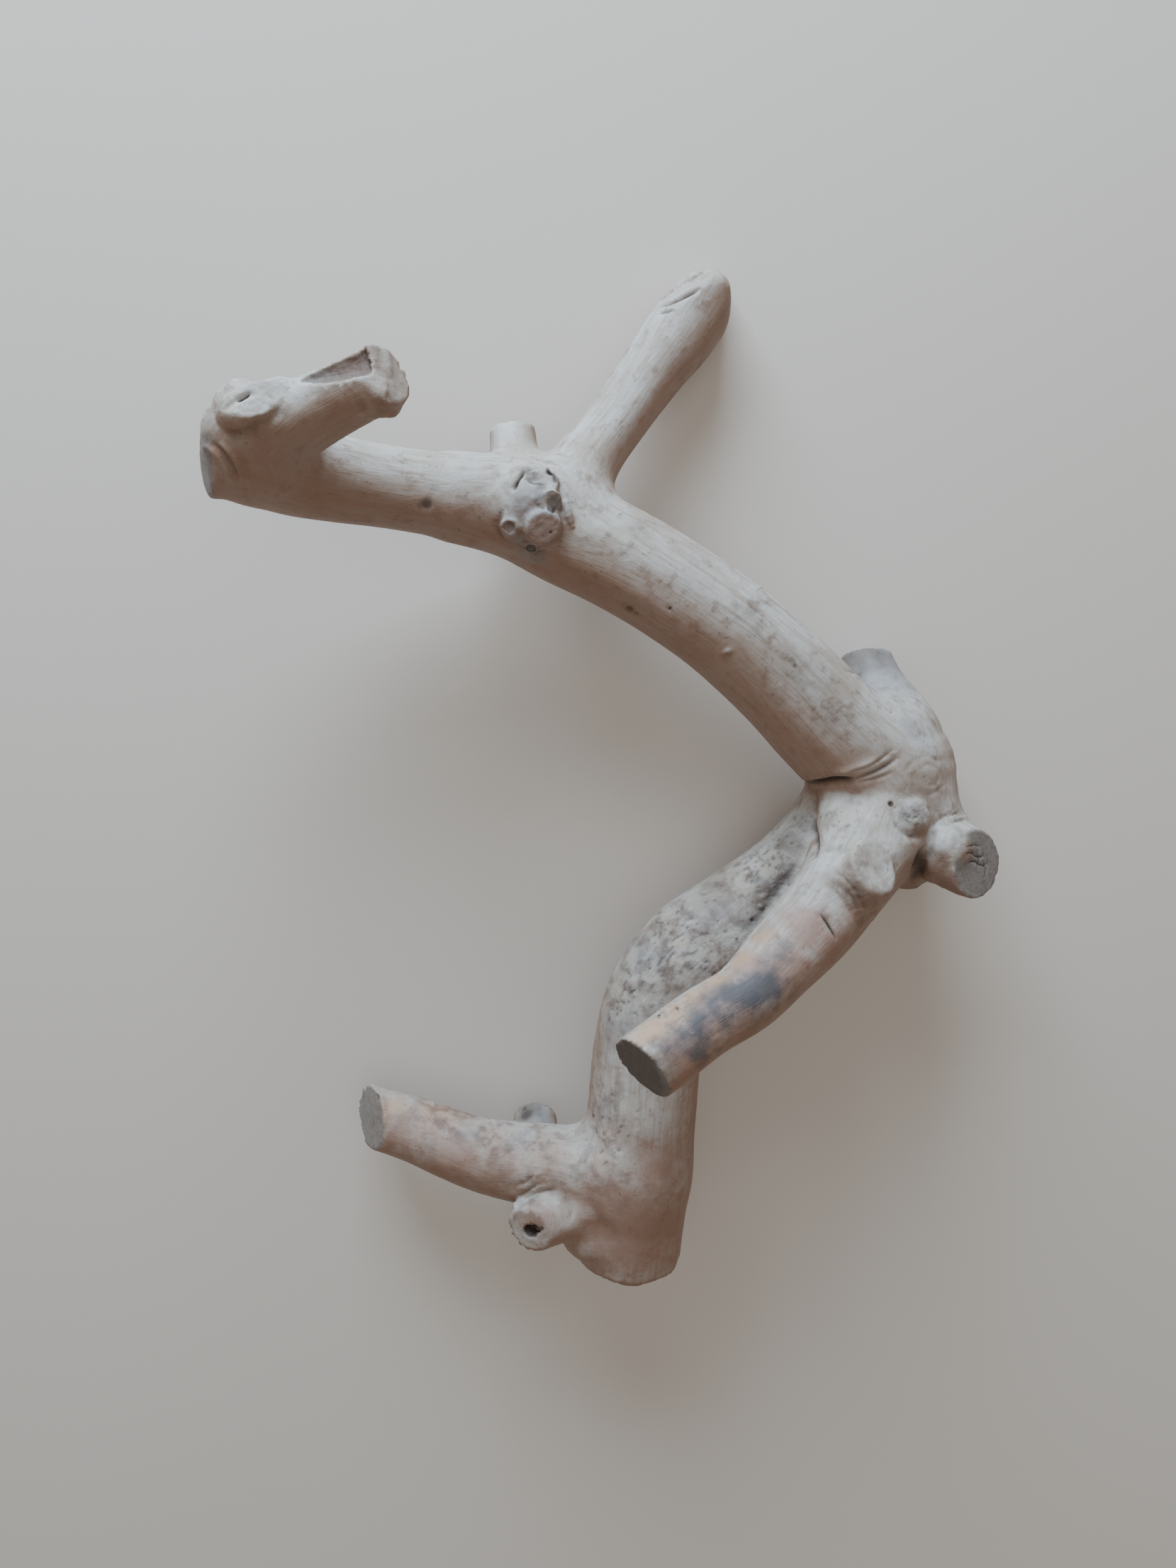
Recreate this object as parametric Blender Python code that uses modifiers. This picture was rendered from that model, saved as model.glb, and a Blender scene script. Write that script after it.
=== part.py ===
"""Fallen tree branch: a bleached, debarked, bent branch with sawn side stubs.

It grew as one piece. The wood is swept along its limbs, grown together into one skin, sawn at
its ends, and split at its main forks into one solid for each limb. The limbs are laid out as the
branch leans with its foot down, and the finished branch is then laid on its back.

Lengths are in millimetres in the tables and in metres in the scene. A station is
(across, up, out, radius): across to the right, up from the foot, and out towards the front.
"""

import bmesh
import bpy
import numpy as np
from mathutils import Euler, Matrix, Vector

MM = 0.001

# Driving dimensions, in millimetres
FOOT_RADIUS = 21.0
TOP_LIMB_RADIUS = 19.0
SPLIT_GAP = 0.3
SKIN_VOXEL = 2.2
SKIN_SMOOTHING_ROUNDS = 6
SKIN_TRIANGLES = 7600

# How the leaning layout is turned to lie on its back stub, leader stub and fork tip, in degrees
LAID_BACK = 12.54
LAID_SIDEWAYS = -4.51

TRUNK = [
    (25, -16, 114, FOOT_RADIUS),
    (25, 8, 114, FOOT_RADIUS - 0.5),
    (25, 35, 111, FOOT_RADIUS),
    (26, 61, 106, FOOT_RADIUS - 0.5),
    (27, 82, 100, FOOT_RADIUS - 0.5),
    (31, 100, 94, FOOT_RADIUS),
    (42, 115, 88, FOOT_RADIUS + 0.5),
    (60, 126, 80, FOOT_RADIUS + 0.5),
    (78, 139, 73, FOOT_RADIUS),
    (92, 152, 66, FOOT_RADIUS),
    (104, 166, 64, FOOT_RADIUS + 3.5),
    (112, 181, 62, FOOT_RADIUS + 4),
    (110, 194, 58, FOOT_RADIUS + 0.5),
]
LEADER_STUB = [
    (111, 186, 58, 22),
    (109, 203, 47, 15.5),
    (106, 217, 36, 10.5),
    (105, 224, 30, 9),
]
RIGHT_STUB = [
    (118, 174, 67, 18.5),
    (129, 163, 75, 15.5),
    (136, 159, 83, 13.5),
    (146, 160, 97, 12.3),
]
UPPER_LIMB = [
    (106, 186, 66, 22),
    (86, 203, 68, 20.5),
    (69, 219, 68, 19.5),
    (48, 236, 67, TOP_LIMB_RADIUS),
    (27, 249, 66, TOP_LIMB_RADIUS - 0.5),
    (8, 259, 64, TOP_LIMB_RADIUS - 0.5),
    (-11, 267, 62, TOP_LIMB_RADIUS - 0.5),
    (-24, 273, 62, TOP_LIMB_RADIUS - 0.5),
    (-39, 277, 64, 16.5),
]
END_LIMB = [
    (-34, 276, 63, 17),
    (-55, 279, 69, 14.5),
    (-73, 282, 76, 14),
    (-88, 285, 84, 14.5),
    (-100, 289, 93, 15.5),
    (-107, 294, 103, 15.5),
    (-107, 301, 110, 13),
]
END_LOBE = [
    (-104, 296, 106, 14),
    (-107, 308, 114, 9),
    (-107, 314, 117, 6),
]
END_STUB = [
    (-108, 291, 104, 11.5),
    (-116, 289, 108, 8.5),
    (-127, 288, 113, 7),
]
HOOKED_STUB = [
    (-106, 297, 106, 14),
    (-95, 303, 111, 12),
    (-83, 309, 117, 10.5),
    (-71, 315, 122, 9.5),
    (-60, 321, 126, 9.5),
]
FORK_LIMB = [
    (-12, 277, 58, 15),
    (-5, 291, 48, 12),
    (5, 304, 38, 11),
    (17, 321, 28, 12),
    (27, 335, 20, 13.5),
    (38, 353, 14, 14),
]
KNOT_STUB = [
    (-28, 281, 58, 12),
    (-31, 291, 46, 9),
    (-33, 301, 38, 8.5),
]
FORWARD_LIMB = [
    (106, 165, 78, 21),
    (93, 152, 96, 16.5),
    (81, 141, 108, 15),
    (69, 132, 118, 13.8),
    (57, 123, 128, 12.6),
    (42, 118, 138, 12.4),
    (30, 112, 146, 12.5),
    (16, 105, 155, 12.5),
]
LOW_LIMB = [
    (23, 36, 112, 18.5),
    (4, 35, 112, 16.5),
    (-15, 35, 110, 15.5),
    (-32, 36, 108, 14.3),
    (-46, 39, 106, 13.5),
    (-62, 44, 104, 12.5),
    (-82, 49, 102, 11.5),
]
HOLLOW_STUB = [
    (10, 24, 117, 11.5),
    (-2, 24, 124, 10),
    (-11, 24, 130, 9),
    (-16, 24, 134, 8.5),
]
BACK_STUB = [
    (-13, 30, 102, 11),
    (-15, 32, 88, 9),
    (-16, 34, 77, 8.7),
]

# Lumps of healed wood: centre and half sizes, in millimetres
LUMPS = [
    ((-24, 274, 70), (15, 15, 13)),
    ((-19, 271, 77), (7, 6, 8)),
    ((-20, 286, 72), (8, 7, 8)),
    ((117, 174, 83), (8, 8, 9)),
    ((103, 163, 94), (9, 8, 8)),
    ((122, 150, 62), (17, 14, 15)),
    ((29, 121.5, 147), (6.5, 3.5, 4)),
    ((9.5, 12, 118), (10.5, 10, 12)),
    ((-112, 300, 110), (9, 9, 10)),
    ((-98, 306, 117), (13, 8, 9)),
    ((-110, 288, 104), (10, 11, 11)),
]

# Sawn faces: a point on the face, its outward direction and the width of the saw block
SAW_CUTS = {
    "foot": ((25, 0, 114), (0, -1, 0), 60),
    "forward_end": ((21, 108, 151), (-0.68, -0.38, 0.63), 40),
    "right_end": ((142, 159, 91), (0.55, 0.31, 0.78), 40),
    "leader_end": ((105, 221, 33), (-0.1, 0.85, -0.5), 40),
    "low_end": ((-79, 48, 102), (-0.85, 0.2, 0.48), 40),
    "hollow_end": ((-14, 25, 134), (-0.45, 0.1, 0.88), 24),
    "fork_end": ((27, 350, 22), (-0.5, 0.85, 0.1), 60),
    "fork_tip": ((42, 355, 16), (0.5, 0.85, 0.1), 40),
    "fork_side": ((44.5, 345, 18), (1, 0.1, 0), 40),
    "hook_end": ((-63.5, 320, 125), (0.72, 0.5, 0.48), 40),
    "knot_stub_end": ((-33, 300, 39), (-0.1, 0.9, -0.4), 30),
    "back_end": ((-16, 34, 79), (0, 0.2, -1), 30),
    "left_end": ((-122, 290, 109), (-0.86, -0.15, 0.48), 30),
}

# Rotted pockets: start and end of a tapered plug, with its two radii
POCKETS = {
    "stub_pocket": ((-15, 25, 137), (-6, 24, 126), 4.5, 2.5),
    "hook_pocket": ((-68, 323, 128), (-87, 315, 118.5), 6.0, 1.0),
}

# Where each limb is parted from the one it grew from: a point, the limb's direction, the cut's radius
FORKS = {
    "low_limb": ((0, 33, 114), (-1, 0, 0), 29),
    "forward_limb": ((69, 132, 118), (-0.68, -0.5, 0.54), 16.5),
    "upper_limb": ((80, 209, 68), (-0.72, 0.69, 0), 25),
    "fork_limb": ((1, 299, 43), (0.52, 0.68, -0.52), 15),
    "end_limb": ((-47, 278, 67), (-0.95, 0.12, 0.28), 21),
    "hooked_stub": ((-84, 308.5, 116.5), (0.84, 0.4, 0.36), 14),
}

# Each node: a point inside it and its colour
NODES = {
    "trunk": ((25, 60, 106), (0.60, 0.50, 0.42)),
    "low_limb": ((-46, 39, 106), (0.58, 0.47, 0.38)),
    "forward_limb": ((42, 118, 138), (0.66, 0.60, 0.54)),
    "upper_limb": ((27, 249, 66), (0.68, 0.61, 0.52)),
    "fork_limb": ((20, 325, 26), (0.68, 0.63, 0.58)),
    "end_limb": ((-80, 284, 80), (0.66, 0.58, 0.49)),
    "hooked_stub": ((-73, 314, 121), (0.64, 0.58, 0.51)),
}
WOOD_ROUGHNESS = 0.7


def clear_scene():
    """Remove whatever the scene holds."""
    for obj in list(bpy.data.objects):
        bpy.data.objects.remove(obj, do_unlink=True)


def new_collection(name):
    """Make a collection under the scene's own."""
    collection = bpy.data.collections.new(name)
    bpy.context.scene.collection.children.link(collection)
    return collection


def metres(point):
    """Turn a point in millimetres into a vector in metres."""
    return Vector(point) * MM


def evaluated_mesh(obj):
    """Return a new mesh of the object with its modifiers applied."""
    depsgraph = bpy.context.evaluated_depsgraph_get()
    return bpy.data.meshes.new_from_object(obj.evaluated_get(depsgraph))


def swept_limb(name, stations, collection):
    """Sweep a round section along a smooth curve through the stations, and return its mesh."""
    curve = bpy.data.curves.new(name, "CURVE")
    curve.dimensions = "3D"
    curve.bevel_depth = MM
    curve.bevel_resolution = 4
    curve.resolution_u = 6
    curve.use_fill_caps = True
    spline = curve.splines.new("BEZIER")
    spline.bezier_points.add(len(stations) - 1)
    spline.radius_interpolation = "CARDINAL"
    for knot, station in zip(spline.bezier_points, stations):
        knot.co = metres(station[:3])
        knot.handle_left_type = "AUTO"
        knot.handle_right_type = "AUTO"
        knot.radius = station[3]
    obj = bpy.data.objects.new(name, curve)
    collection.objects.link(obj)
    mesh = evaluated_mesh(obj)
    bpy.data.objects.remove(obj, do_unlink=True)
    weld(mesh)
    return mesh


def weld(mesh):
    """Merge the mesh's doubled points, such as those around a curve's caps."""
    shape = bmesh.new()
    shape.from_mesh(mesh)
    bmesh.ops.remove_doubles(shape, verts=shape.verts, dist=0.00001)
    shape.to_mesh(mesh)
    shape.free()


def lump_mesh(centre, half_sizes):
    """Make an egg-shaped lump of healed wood."""
    shape = bmesh.new()
    placed = Matrix.LocRotScale(metres(centre), None, metres(half_sizes))
    bmesh.ops.create_uvsphere(shape, u_segments=20, v_segments=12, radius=1.0, matrix=placed)
    mesh = bpy.data.meshes.new("lump")
    shape.to_mesh(mesh)
    shape.free()
    return mesh


def grown_skin(collection):
    """Grow the swept limbs and lumps together into one skin."""
    limbs = {
        "trunk": TRUNK,
        "leader_stub": LEADER_STUB,
        "right_stub": RIGHT_STUB,
        "upper_limb": UPPER_LIMB,
        "end_limb": END_LIMB,
        "end_lobe": END_LOBE,
        "end_stub": END_STUB,
        "hooked_stub": HOOKED_STUB,
        "fork_limb": FORK_LIMB,
        "knot_stub": KNOT_STUB,
        "forward_limb": FORWARD_LIMB,
        "low_limb": LOW_LIMB,
        "hollow_stub": HOLLOW_STUB,
        "back_stub": BACK_STUB,
    }
    shape = bmesh.new()
    for name, stations in limbs.items():
        shape.from_mesh(swept_limb(name, stations, collection))
    for centre, half_sizes in LUMPS:
        shape.from_mesh(lump_mesh(centre, half_sizes))
    mesh = bpy.data.meshes.new("skin")
    shape.to_mesh(mesh)
    shape.free()

    skin = bpy.data.objects.new("skin", mesh)
    collection.objects.link(skin)
    remesh = skin.modifiers.new("grow_together", "REMESH")
    remesh.mode = "VOXEL"
    remesh.voxel_size = SKIN_VOXEL * MM
    smooth = skin.modifiers.new("fill_crotches", "SMOOTH")
    smooth.factor = 0.5
    smooth.iterations = SKIN_SMOOTHING_ROUNDS
    triangulate = skin.modifiers.new("triangles", "TRIANGULATE")
    triangulate.min_vertices = 4
    triangles = len(evaluated_mesh(skin).polygons)
    thin = skin.modifiers.new("thin_out", "DECIMATE")
    thin.ratio = SKIN_TRIANGLES / triangles
    return skin


def facing(direction):
    """Return the rotation that turns +Z to the direction."""
    return Vector(direction).to_track_quat("Z", "Y")


def cutter_object(name, shape, place, collection):
    """Store a cutter, hidden and drawn as wire."""
    mesh = bpy.data.meshes.new(name)
    shape.to_mesh(mesh)
    shape.free()
    obj = bpy.data.objects.new(name, mesh)
    obj.matrix_world = place
    obj.hide_render = True
    obj.display_type = "WIRE"
    collection.objects.link(obj)
    return obj


def saw_block(name, point, outward, width, collection):
    """A block that lies outside a sawn face."""
    shape = bmesh.new()
    size = width * MM
    raised = Matrix.Translation((0, 0, size / 2))
    bmesh.ops.create_cube(shape, size=size, matrix=raised)
    place = Matrix.Translation(metres(point)) @ facing(outward).to_matrix().to_4x4()
    return cutter_object(name, shape, place, collection)


def pocket_cone(name, start, end, start_radius, end_radius, collection):
    """A tapered plug that hollows out a rotted pocket."""
    shape = bmesh.new()
    along = metres(end) - metres(start)
    bmesh.ops.create_cone(
        shape,
        cap_ends=True,
        segments=14,
        radius1=start_radius * MM,
        radius2=end_radius * MM,
        depth=along.length,
    )
    middle = (metres(start) + metres(end)) / 2
    place = Matrix.Translation(middle) @ facing(along).to_matrix().to_4x4()
    return cutter_object(name, shape, place, collection)


def fork_disc(name, point, direction, radius, collection):
    """A thin disc that parts one limb from the limb it grew from."""
    shape = bmesh.new()
    bmesh.ops.create_cone(
        shape,
        cap_ends=True,
        segments=32,
        radius1=radius * MM,
        radius2=radius * MM,
        depth=SPLIT_GAP * MM,
    )
    place = Matrix.Translation(metres(point)) @ facing(direction).to_matrix().to_4x4()
    return cutter_object(name, shape, place, collection)


def cut_away(obj, cutter):
    """Subtract the cutter from the object."""
    boolean = obj.modifiers.new(cutter.name, "BOOLEAN")
    boolean.operation = "DIFFERENCE"
    boolean.solver = "EXACT"
    boolean.object = cutter


def sawn_and_split(skin, cutters):
    """Saw the ends, hollow the pockets and part the forks; return one mesh of loose solids."""
    for name, (point, outward, width) in SAW_CUTS.items():
        cut_away(skin, saw_block(name, point, outward, width, cutters))
    for name, (start, end, start_radius, end_radius) in POCKETS.items():
        cut_away(skin, pocket_cone(name, start, end, start_radius, end_radius, cutters))
    for name, (point, direction, radius) in FORKS.items():
        cut_away(skin, fork_disc(name + "_fork", point, direction, radius, cutters))
    return evaluated_mesh(skin)


def loose_solids(mesh):
    """Yield the vertex index sets of the mesh's separate solids."""
    neighbours = [[] for _ in mesh.vertices]
    for edge in mesh.edges:
        first, second = edge.vertices
        neighbours[first].append(second)
        neighbours[second].append(first)
    unseen = set(range(len(mesh.vertices)))
    while unseen:
        start = min(unseen)
        unseen.discard(start)
        solid = {start}
        front = [start]
        while front:
            for index in neighbours[front.pop()]:
                if index in unseen:
                    unseen.discard(index)
                    solid.add(index)
                    front.append(index)
        yield solid


def node_of(mesh, solid):
    """Name the node whose inside point lies nearest to the solid."""
    points = np.array([mesh.vertices[index].co for index in solid])
    gaps = {}
    for name, (inside, _) in NODES.items():
        gaps[name] = np.linalg.norm(points - np.array(inside) * MM, axis=1).min()
    return min(gaps, key=gaps.get)


def wood(name, colour):
    """Bleached bare wood in the node's own shade."""
    material = bpy.data.materials.new(name + "_wood")
    material.use_nodes = True
    shader = material.node_tree.nodes["Principled BSDF"]
    shader.inputs["Base Color"].default_value = (*colour, 1.0)
    shader.inputs["Roughness"].default_value = WOOD_ROUGHNESS
    shader.inputs["Metallic"].default_value = 0.0
    return material


def limb_object(name, mesh, solid, collection):
    """Make one limb's object from its own solid."""
    shape = bmesh.new()
    shape.from_mesh(mesh)
    shape.verts.ensure_lookup_table()
    others = [vert for vert in shape.verts if vert.index not in solid]
    bmesh.ops.delete(shape, geom=others, context="VERTS")
    limb = bpy.data.meshes.new(name)
    shape.to_mesh(limb)
    shape.free()
    limb.materials.clear()
    limb.materials.append(wood(name, NODES[name][1]))
    limb.shade_smooth()
    limb.set_sharp_from_angle(angle=0.7)
    obj = bpy.data.objects.new(name, limb)
    collection.objects.link(obj)
    return obj


def laid_down(limbs, collection):
    """Turn the branch onto its back, lowest point at height 0 and its box centred on the origin."""
    turn = Euler((np.radians(LAID_BACK), np.radians(LAID_SIDEWAYS), 0)).to_matrix()
    corners = np.array([turn @ vert.co for limb in limbs for vert in limb.data.vertices])
    low = corners.min(axis=0)
    high = corners.max(axis=0)
    rest = bpy.data.objects.new("resting_pose", None)
    collection.objects.link(rest)
    rest.rotation_euler = turn.to_euler()
    rest.location = (-(low[0] + high[0]) / 2, -(low[1] + high[1]) / 2, -low[2])
    for limb in limbs:
        limb.parent = rest
    return rest


def build():
    """Build the branch."""
    clear_scene()
    branch = new_collection("tree_branch")
    cutters = new_collection("cutters")
    skin = grown_skin(branch)
    solids = sawn_and_split(skin, cutters)
    bpy.data.objects.remove(skin, do_unlink=True)
    limbs = []
    for solid in loose_solids(solids):
        name = node_of(solids, solid)
        limbs.append(limb_object(name, solids, solid, branch))
    laid_down(limbs, branch)


build()
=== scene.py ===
# %% [markdown]
# # A fallen branch, stripped of its bark and bleached
#
# The real object is one piece of wood: a branch that lost its bark, lay in the sun and rain, and
# was sawn at its ends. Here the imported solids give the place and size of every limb, and one
# seamless skin of fine mesh is grown over them, with its knots, folds, pits and saw marks.

# %% Load the fixed frame
import math

import bmesh
import bpy
import numpy as np
from mathutils import Euler, Matrix, Vector, noise
from mathutils.bvhtree import BVHTree
from mathutils.kdtree import KDTree


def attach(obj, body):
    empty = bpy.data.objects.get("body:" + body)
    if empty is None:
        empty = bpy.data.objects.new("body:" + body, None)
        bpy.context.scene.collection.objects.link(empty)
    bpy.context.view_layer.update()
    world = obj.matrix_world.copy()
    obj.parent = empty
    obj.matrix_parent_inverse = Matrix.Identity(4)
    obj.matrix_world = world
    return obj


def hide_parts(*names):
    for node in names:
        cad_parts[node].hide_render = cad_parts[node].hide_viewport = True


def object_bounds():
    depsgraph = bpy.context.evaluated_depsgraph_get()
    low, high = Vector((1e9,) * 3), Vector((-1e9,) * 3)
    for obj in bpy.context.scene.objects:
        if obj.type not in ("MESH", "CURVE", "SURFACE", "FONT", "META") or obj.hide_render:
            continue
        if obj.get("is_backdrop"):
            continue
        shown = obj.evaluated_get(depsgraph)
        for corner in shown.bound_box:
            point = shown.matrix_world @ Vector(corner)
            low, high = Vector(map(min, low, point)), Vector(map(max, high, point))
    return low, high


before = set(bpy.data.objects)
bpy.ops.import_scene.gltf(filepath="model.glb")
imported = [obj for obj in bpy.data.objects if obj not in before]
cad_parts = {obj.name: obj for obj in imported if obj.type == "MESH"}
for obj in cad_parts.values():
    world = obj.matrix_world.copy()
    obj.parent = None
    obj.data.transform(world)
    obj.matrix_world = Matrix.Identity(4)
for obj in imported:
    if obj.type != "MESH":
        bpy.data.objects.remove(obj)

cad_low, cad_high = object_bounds()
print("limbs in the frame:", sorted(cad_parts))

# %% [markdown]
# ## Two sets of axes
#
# A branch is easier to lay out the way it leans in the photograph: across to the right, up from
# the sawn foot, and out towards the viewer, in millimetres. It then lies down on its back. The
# two turns and the shift below are the ones that put the solids on the floor, so the skin made
# in leaning axes lands on them exactly.

# %% Leaning axes and resting axes
MM = 0.001
LAID_BACK = 12.54
LAID_SIDEWAYS = -4.51
SHIFT = (-2.6, -157.7, -79.6)

turn = Euler((math.radians(LAID_BACK), math.radians(LAID_SIDEWAYS), 0)).to_matrix()
lay_down = Matrix.Translation(Vector(SHIFT) * MM) @ turn.to_4x4() @ Matrix.Scale(MM, 4)
stand_up = lay_down.inverted()
print("laid back by", LAID_BACK, "and sideways by", LAID_SIDEWAYS, "degrees")

# %% [markdown]
# ## The viewpoint
#
# The photograph was taken from in front and above: the camera looks down by 21 degrees on the
# leaning branch. It keeps the same place beside the branch once that lies down, and then looks
# almost straight down on it.

# %% Camera
PHOTO_WIDTH = 1659
PHOTO_HEIGHT = 2212
FOCAL_PIXELS = 1660.0
LOOKING_DOWN = math.radians(20.7)
TILTED_HEAD = math.radians(2.47)
EYE = np.array([0.0, 331.0, 480.0])
SENSOR_MM = 36.0
NEAR_CLIP = 0.01

forward = np.array([0.0, -math.sin(LOOKING_DOWN), -math.cos(LOOKING_DOWN)])
level_right = np.array([1.0, 0.0, 0.0])
level_down = np.array([0.0, -math.cos(LOOKING_DOWN), math.sin(LOOKING_DOWN)])
picture_right = math.cos(TILTED_HEAD) * level_right - math.sin(TILTED_HEAD) * level_down
picture_down = math.sin(TILTED_HEAD) * level_right + math.cos(TILTED_HEAD) * level_down

camera_data = bpy.data.cameras.new("viewpoint")
camera_data.sensor_width = SENSOR_MM
camera_data.lens = SENSOR_MM * FOCAL_PIXELS / PHOTO_HEIGHT
camera_data.clip_start = NEAR_CLIP
camera = bpy.data.objects.new("viewpoint", camera_data)
bpy.context.scene.collection.objects.link(camera)
axes = Matrix.Identity(4)
for row in range(3):
    axes[row][0] = picture_right[row]
    axes[row][1] = -picture_down[row]
    axes[row][2] = -forward[row]
    axes[row][3] = EYE[row]
placed = lay_down @ axes
camera.location = placed.to_translation()
camera.rotation_euler = placed.to_3x3().normalized().to_euler()
bpy.context.scene.camera = camera
print("camera lens", round(camera_data.lens, 2), "mm")


def sight_line(column, row):
    """The direction from the eye through a point of the picture."""
    right = (column - PHOTO_WIDTH / 2) / FOCAL_PIXELS
    down = (row - PHOTO_HEIGHT / 2) / FOCAL_PIXELS
    line = forward + right * picture_right + down * picture_down
    return line / np.linalg.norm(line)


# %% [markdown]
# ## The limbs
#
# A limb is a round section that changes size along a smooth line. Each one is a list of stations
# (across, up, out, radius). A limb that is sawn runs on past its cut, and the saw then takes off
# everything beyond a flat plane, as it did on the real branch. Each saw is a place on that plane,
# the way it faces and how grey the cut went. Blend is how many millimetres of fillet grow where
# the limb leaves its neighbour: new wood rounds a fork off. Rounding is how worn a cut's rim is.

# %% Stations of each limb
LIMBS = {
    "trunk": {
        "stations": [
            (23.5, -16, 114, 20.3), (24.3, 8, 114, 20.2), (25, 35, 111, 21), (26, 61, 106, 20.5),
            (27, 82, 100, 20.5), (31, 100, 94, 21), (42, 115, 88, 21.5), (60, 126, 80, 21.5),
            (78, 139, 73, 21), (92, 152, 66, 21), (104, 166, 64, 24.5), (112, 181, 62, 25),
            (110, 194, 58, 21.5),
        ],
        "saws": [((25, 0, 114), (0, -1, 0), 0.5)],
        "blend": 0,
    },
    "leader_stub": {
        "stations": [
            (111, 186, 58, 22), (109, 203, 47, 15.5), (106, 217, 36, 10.5), (105, 224, 30, 9),
        ],
        "saws": [((105, 221, 33), (-0.1, 0.85, -0.5), 0.7)],
        "blend": 9,
    },
    "right_stub": {
        "stations": [
            (118, 174, 67, 18.5), (129, 163, 75, 15.5), (136, 159, 83, 13.5), (146, 160, 97, 12.3),
        ],
        "saws": [((142, 159, 91), (0.55, 0.31, 0.78), 1.0)],
        "blend": 7,
    },
    "forward_limb": {
        "stations": [
            (106, 165, 78, 21), (93, 152, 96, 16.5), (81, 141, 108, 15), (69, 132, 118, 13.8),
            (57, 123, 128, 12.6), (42, 118, 138, 12.4), (30, 112, 146, 12.5), (16, 105, 155, 12.5),
        ],
        "saws": [((21, 108, 151), (-0.68, -0.38, 0.63), 1.0)],
        "blend": 1.5,
    },
    "upper_limb": {
        "stations": [
            (106, 186, 66, 22), (86, 203, 68, 20.5), (69, 219, 68, 19.5), (48, 236, 67, 19),
            (27, 249, 66, 18.5), (8, 259, 64, 18.5), (-11, 267, 62, 18.5), (-24, 273, 62, 18),
            (-36, 276, 64, 16.3), (-48, 278, 67, 15),
        ],
        "saws": [],
        "blend": 7,
    },
    "end_limb": {
        "stations": [
            (-34, 276, 63, 16), (-55, 279, 69, 14.5), (-73, 282, 76, 14), (-88, 285, 84, 14.5),
            (-100, 289, 93, 15.5), (-107, 294, 103, 15.5), (-107, 301, 110, 13),
        ],
        "saws": [],
        "blend": 4,
    },
    "fork_limb": {
        "stations": [
            (-12, 277, 58, 15), (-5, 291, 48, 12), (5, 304, 38, 11), (17, 321, 28, 12),
            (27, 335, 20, 13.5), (38, 353, 14, 14),
        ],
        "saws": [
            ((27, 350, 22), (-0.5, 0.85, 0.1), 0.1),
            ((42, 355, 16), (0.5, 0.85, 0.1), 0.2),
            ((44.5, 345, 18), (1, 0.1, 0), 0.0),
        ],
        "rounding": 4,
        "blend": 8,
    },
    "knot_stub": {
        "stations": [(-28, 281, 58, 12), (-31, 291, 46, 9), (-33, 303, 36, 8.5)],
        "saws": [((-33, 300, 39), (-0.1, 0.9, -0.4), 0.3)],
        "blend": 7,
    },
    "low_limb": {
        "stations": [
            (23, 36, 112, 18.5), (4, 35, 112, 16.5), (-15, 35, 110, 15.5), (-32, 36, 108, 14.3),
            (-46, 39, 106, 13.5), (-62, 44, 104, 12.5), (-84, 49.5, 102, 11.5),
        ],
        "saws": [((-79, 48, 102), (-0.85, 0.2, 0.48), 0.9)],
        "blend": 9,
    },
    "hollow_stub": {
        "stations": [(10, 24, 117, 11.5), (-2, 24, 124, 10), (-11, 24, 130, 9), (-18, 24, 136, 8.5)],
        "saws": [((-14, 25, 134), (-0.45, 0.1, 0.88), 0.1)],
        "blend": 4,
    },
    "back_stub": {
        "stations": [(-13, 30, 102, 11), (-15, 32, 88, 9), (-16, 34.5, 74, 8.7)],
        "saws": [((-16, 34, 79), (0, 0.2, -1), 0.5)],
        "blend": 4,
    },
    "end_lobe": {
        "stations": [(-104, 296, 106, 14), (-107, 306, 113, 8.5), (-107, 311, 116, 5.2)],
        "saws": [],
        "blend": 4,
    },
    "end_stub": {
        "stations": [(-108, 292, 104, 11), (-116, 289, 108, 8.8), (-128, 286.5, 113, 7.6)],
        "saws": [((-122.5, 289.5, 109.5), (-0.86, -0.05, 0.48), 1.0)],
        "rounding": 3.0,
        "blend": 4,
    },
    "hooked_stub": {
        "stations": [
            (-106, 297, 106, 14), (-95, 303, 111, 12), (-83, 309, 117, 10.5), (-71, 315, 122, 9.8),
            (-54, 324.5, 128, 10),
        ],
        "saws": [
            ((-63.5, 320, 125), (0.72, 0.5, 0.48), 0.25),
            ((-58.5, 312, 127), (0.8, -0.5, 0.3), 0.0),
        ],
        "blend": 5,
    },
}
print("limbs and stubs:", len(LIMBS))

# %% Lumps and hollows
# Lumps of healed wood: centre, half sizes and blend
LUMPS = {
    "cluster_swelling": ((-24, 274, 70), (15, 15, 12), 6),
    "junction_belly": ((122, 150, 62), (17, 14, 15), 8),
    "heel": ((8, 12, 119), (11, 10, 13), 7),
    "scar": ((26.5, 128, 147), (7.5, 4, 5), 2),
    "end_left": ((-112, 300, 110), (9, 9, 10), 4),
    "end_top": ((-98, 306, 117), (12, 7, 8), 4),
    "end_low": ((-110, 289, 104), (9.5, 10, 10), 5),
}
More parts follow.
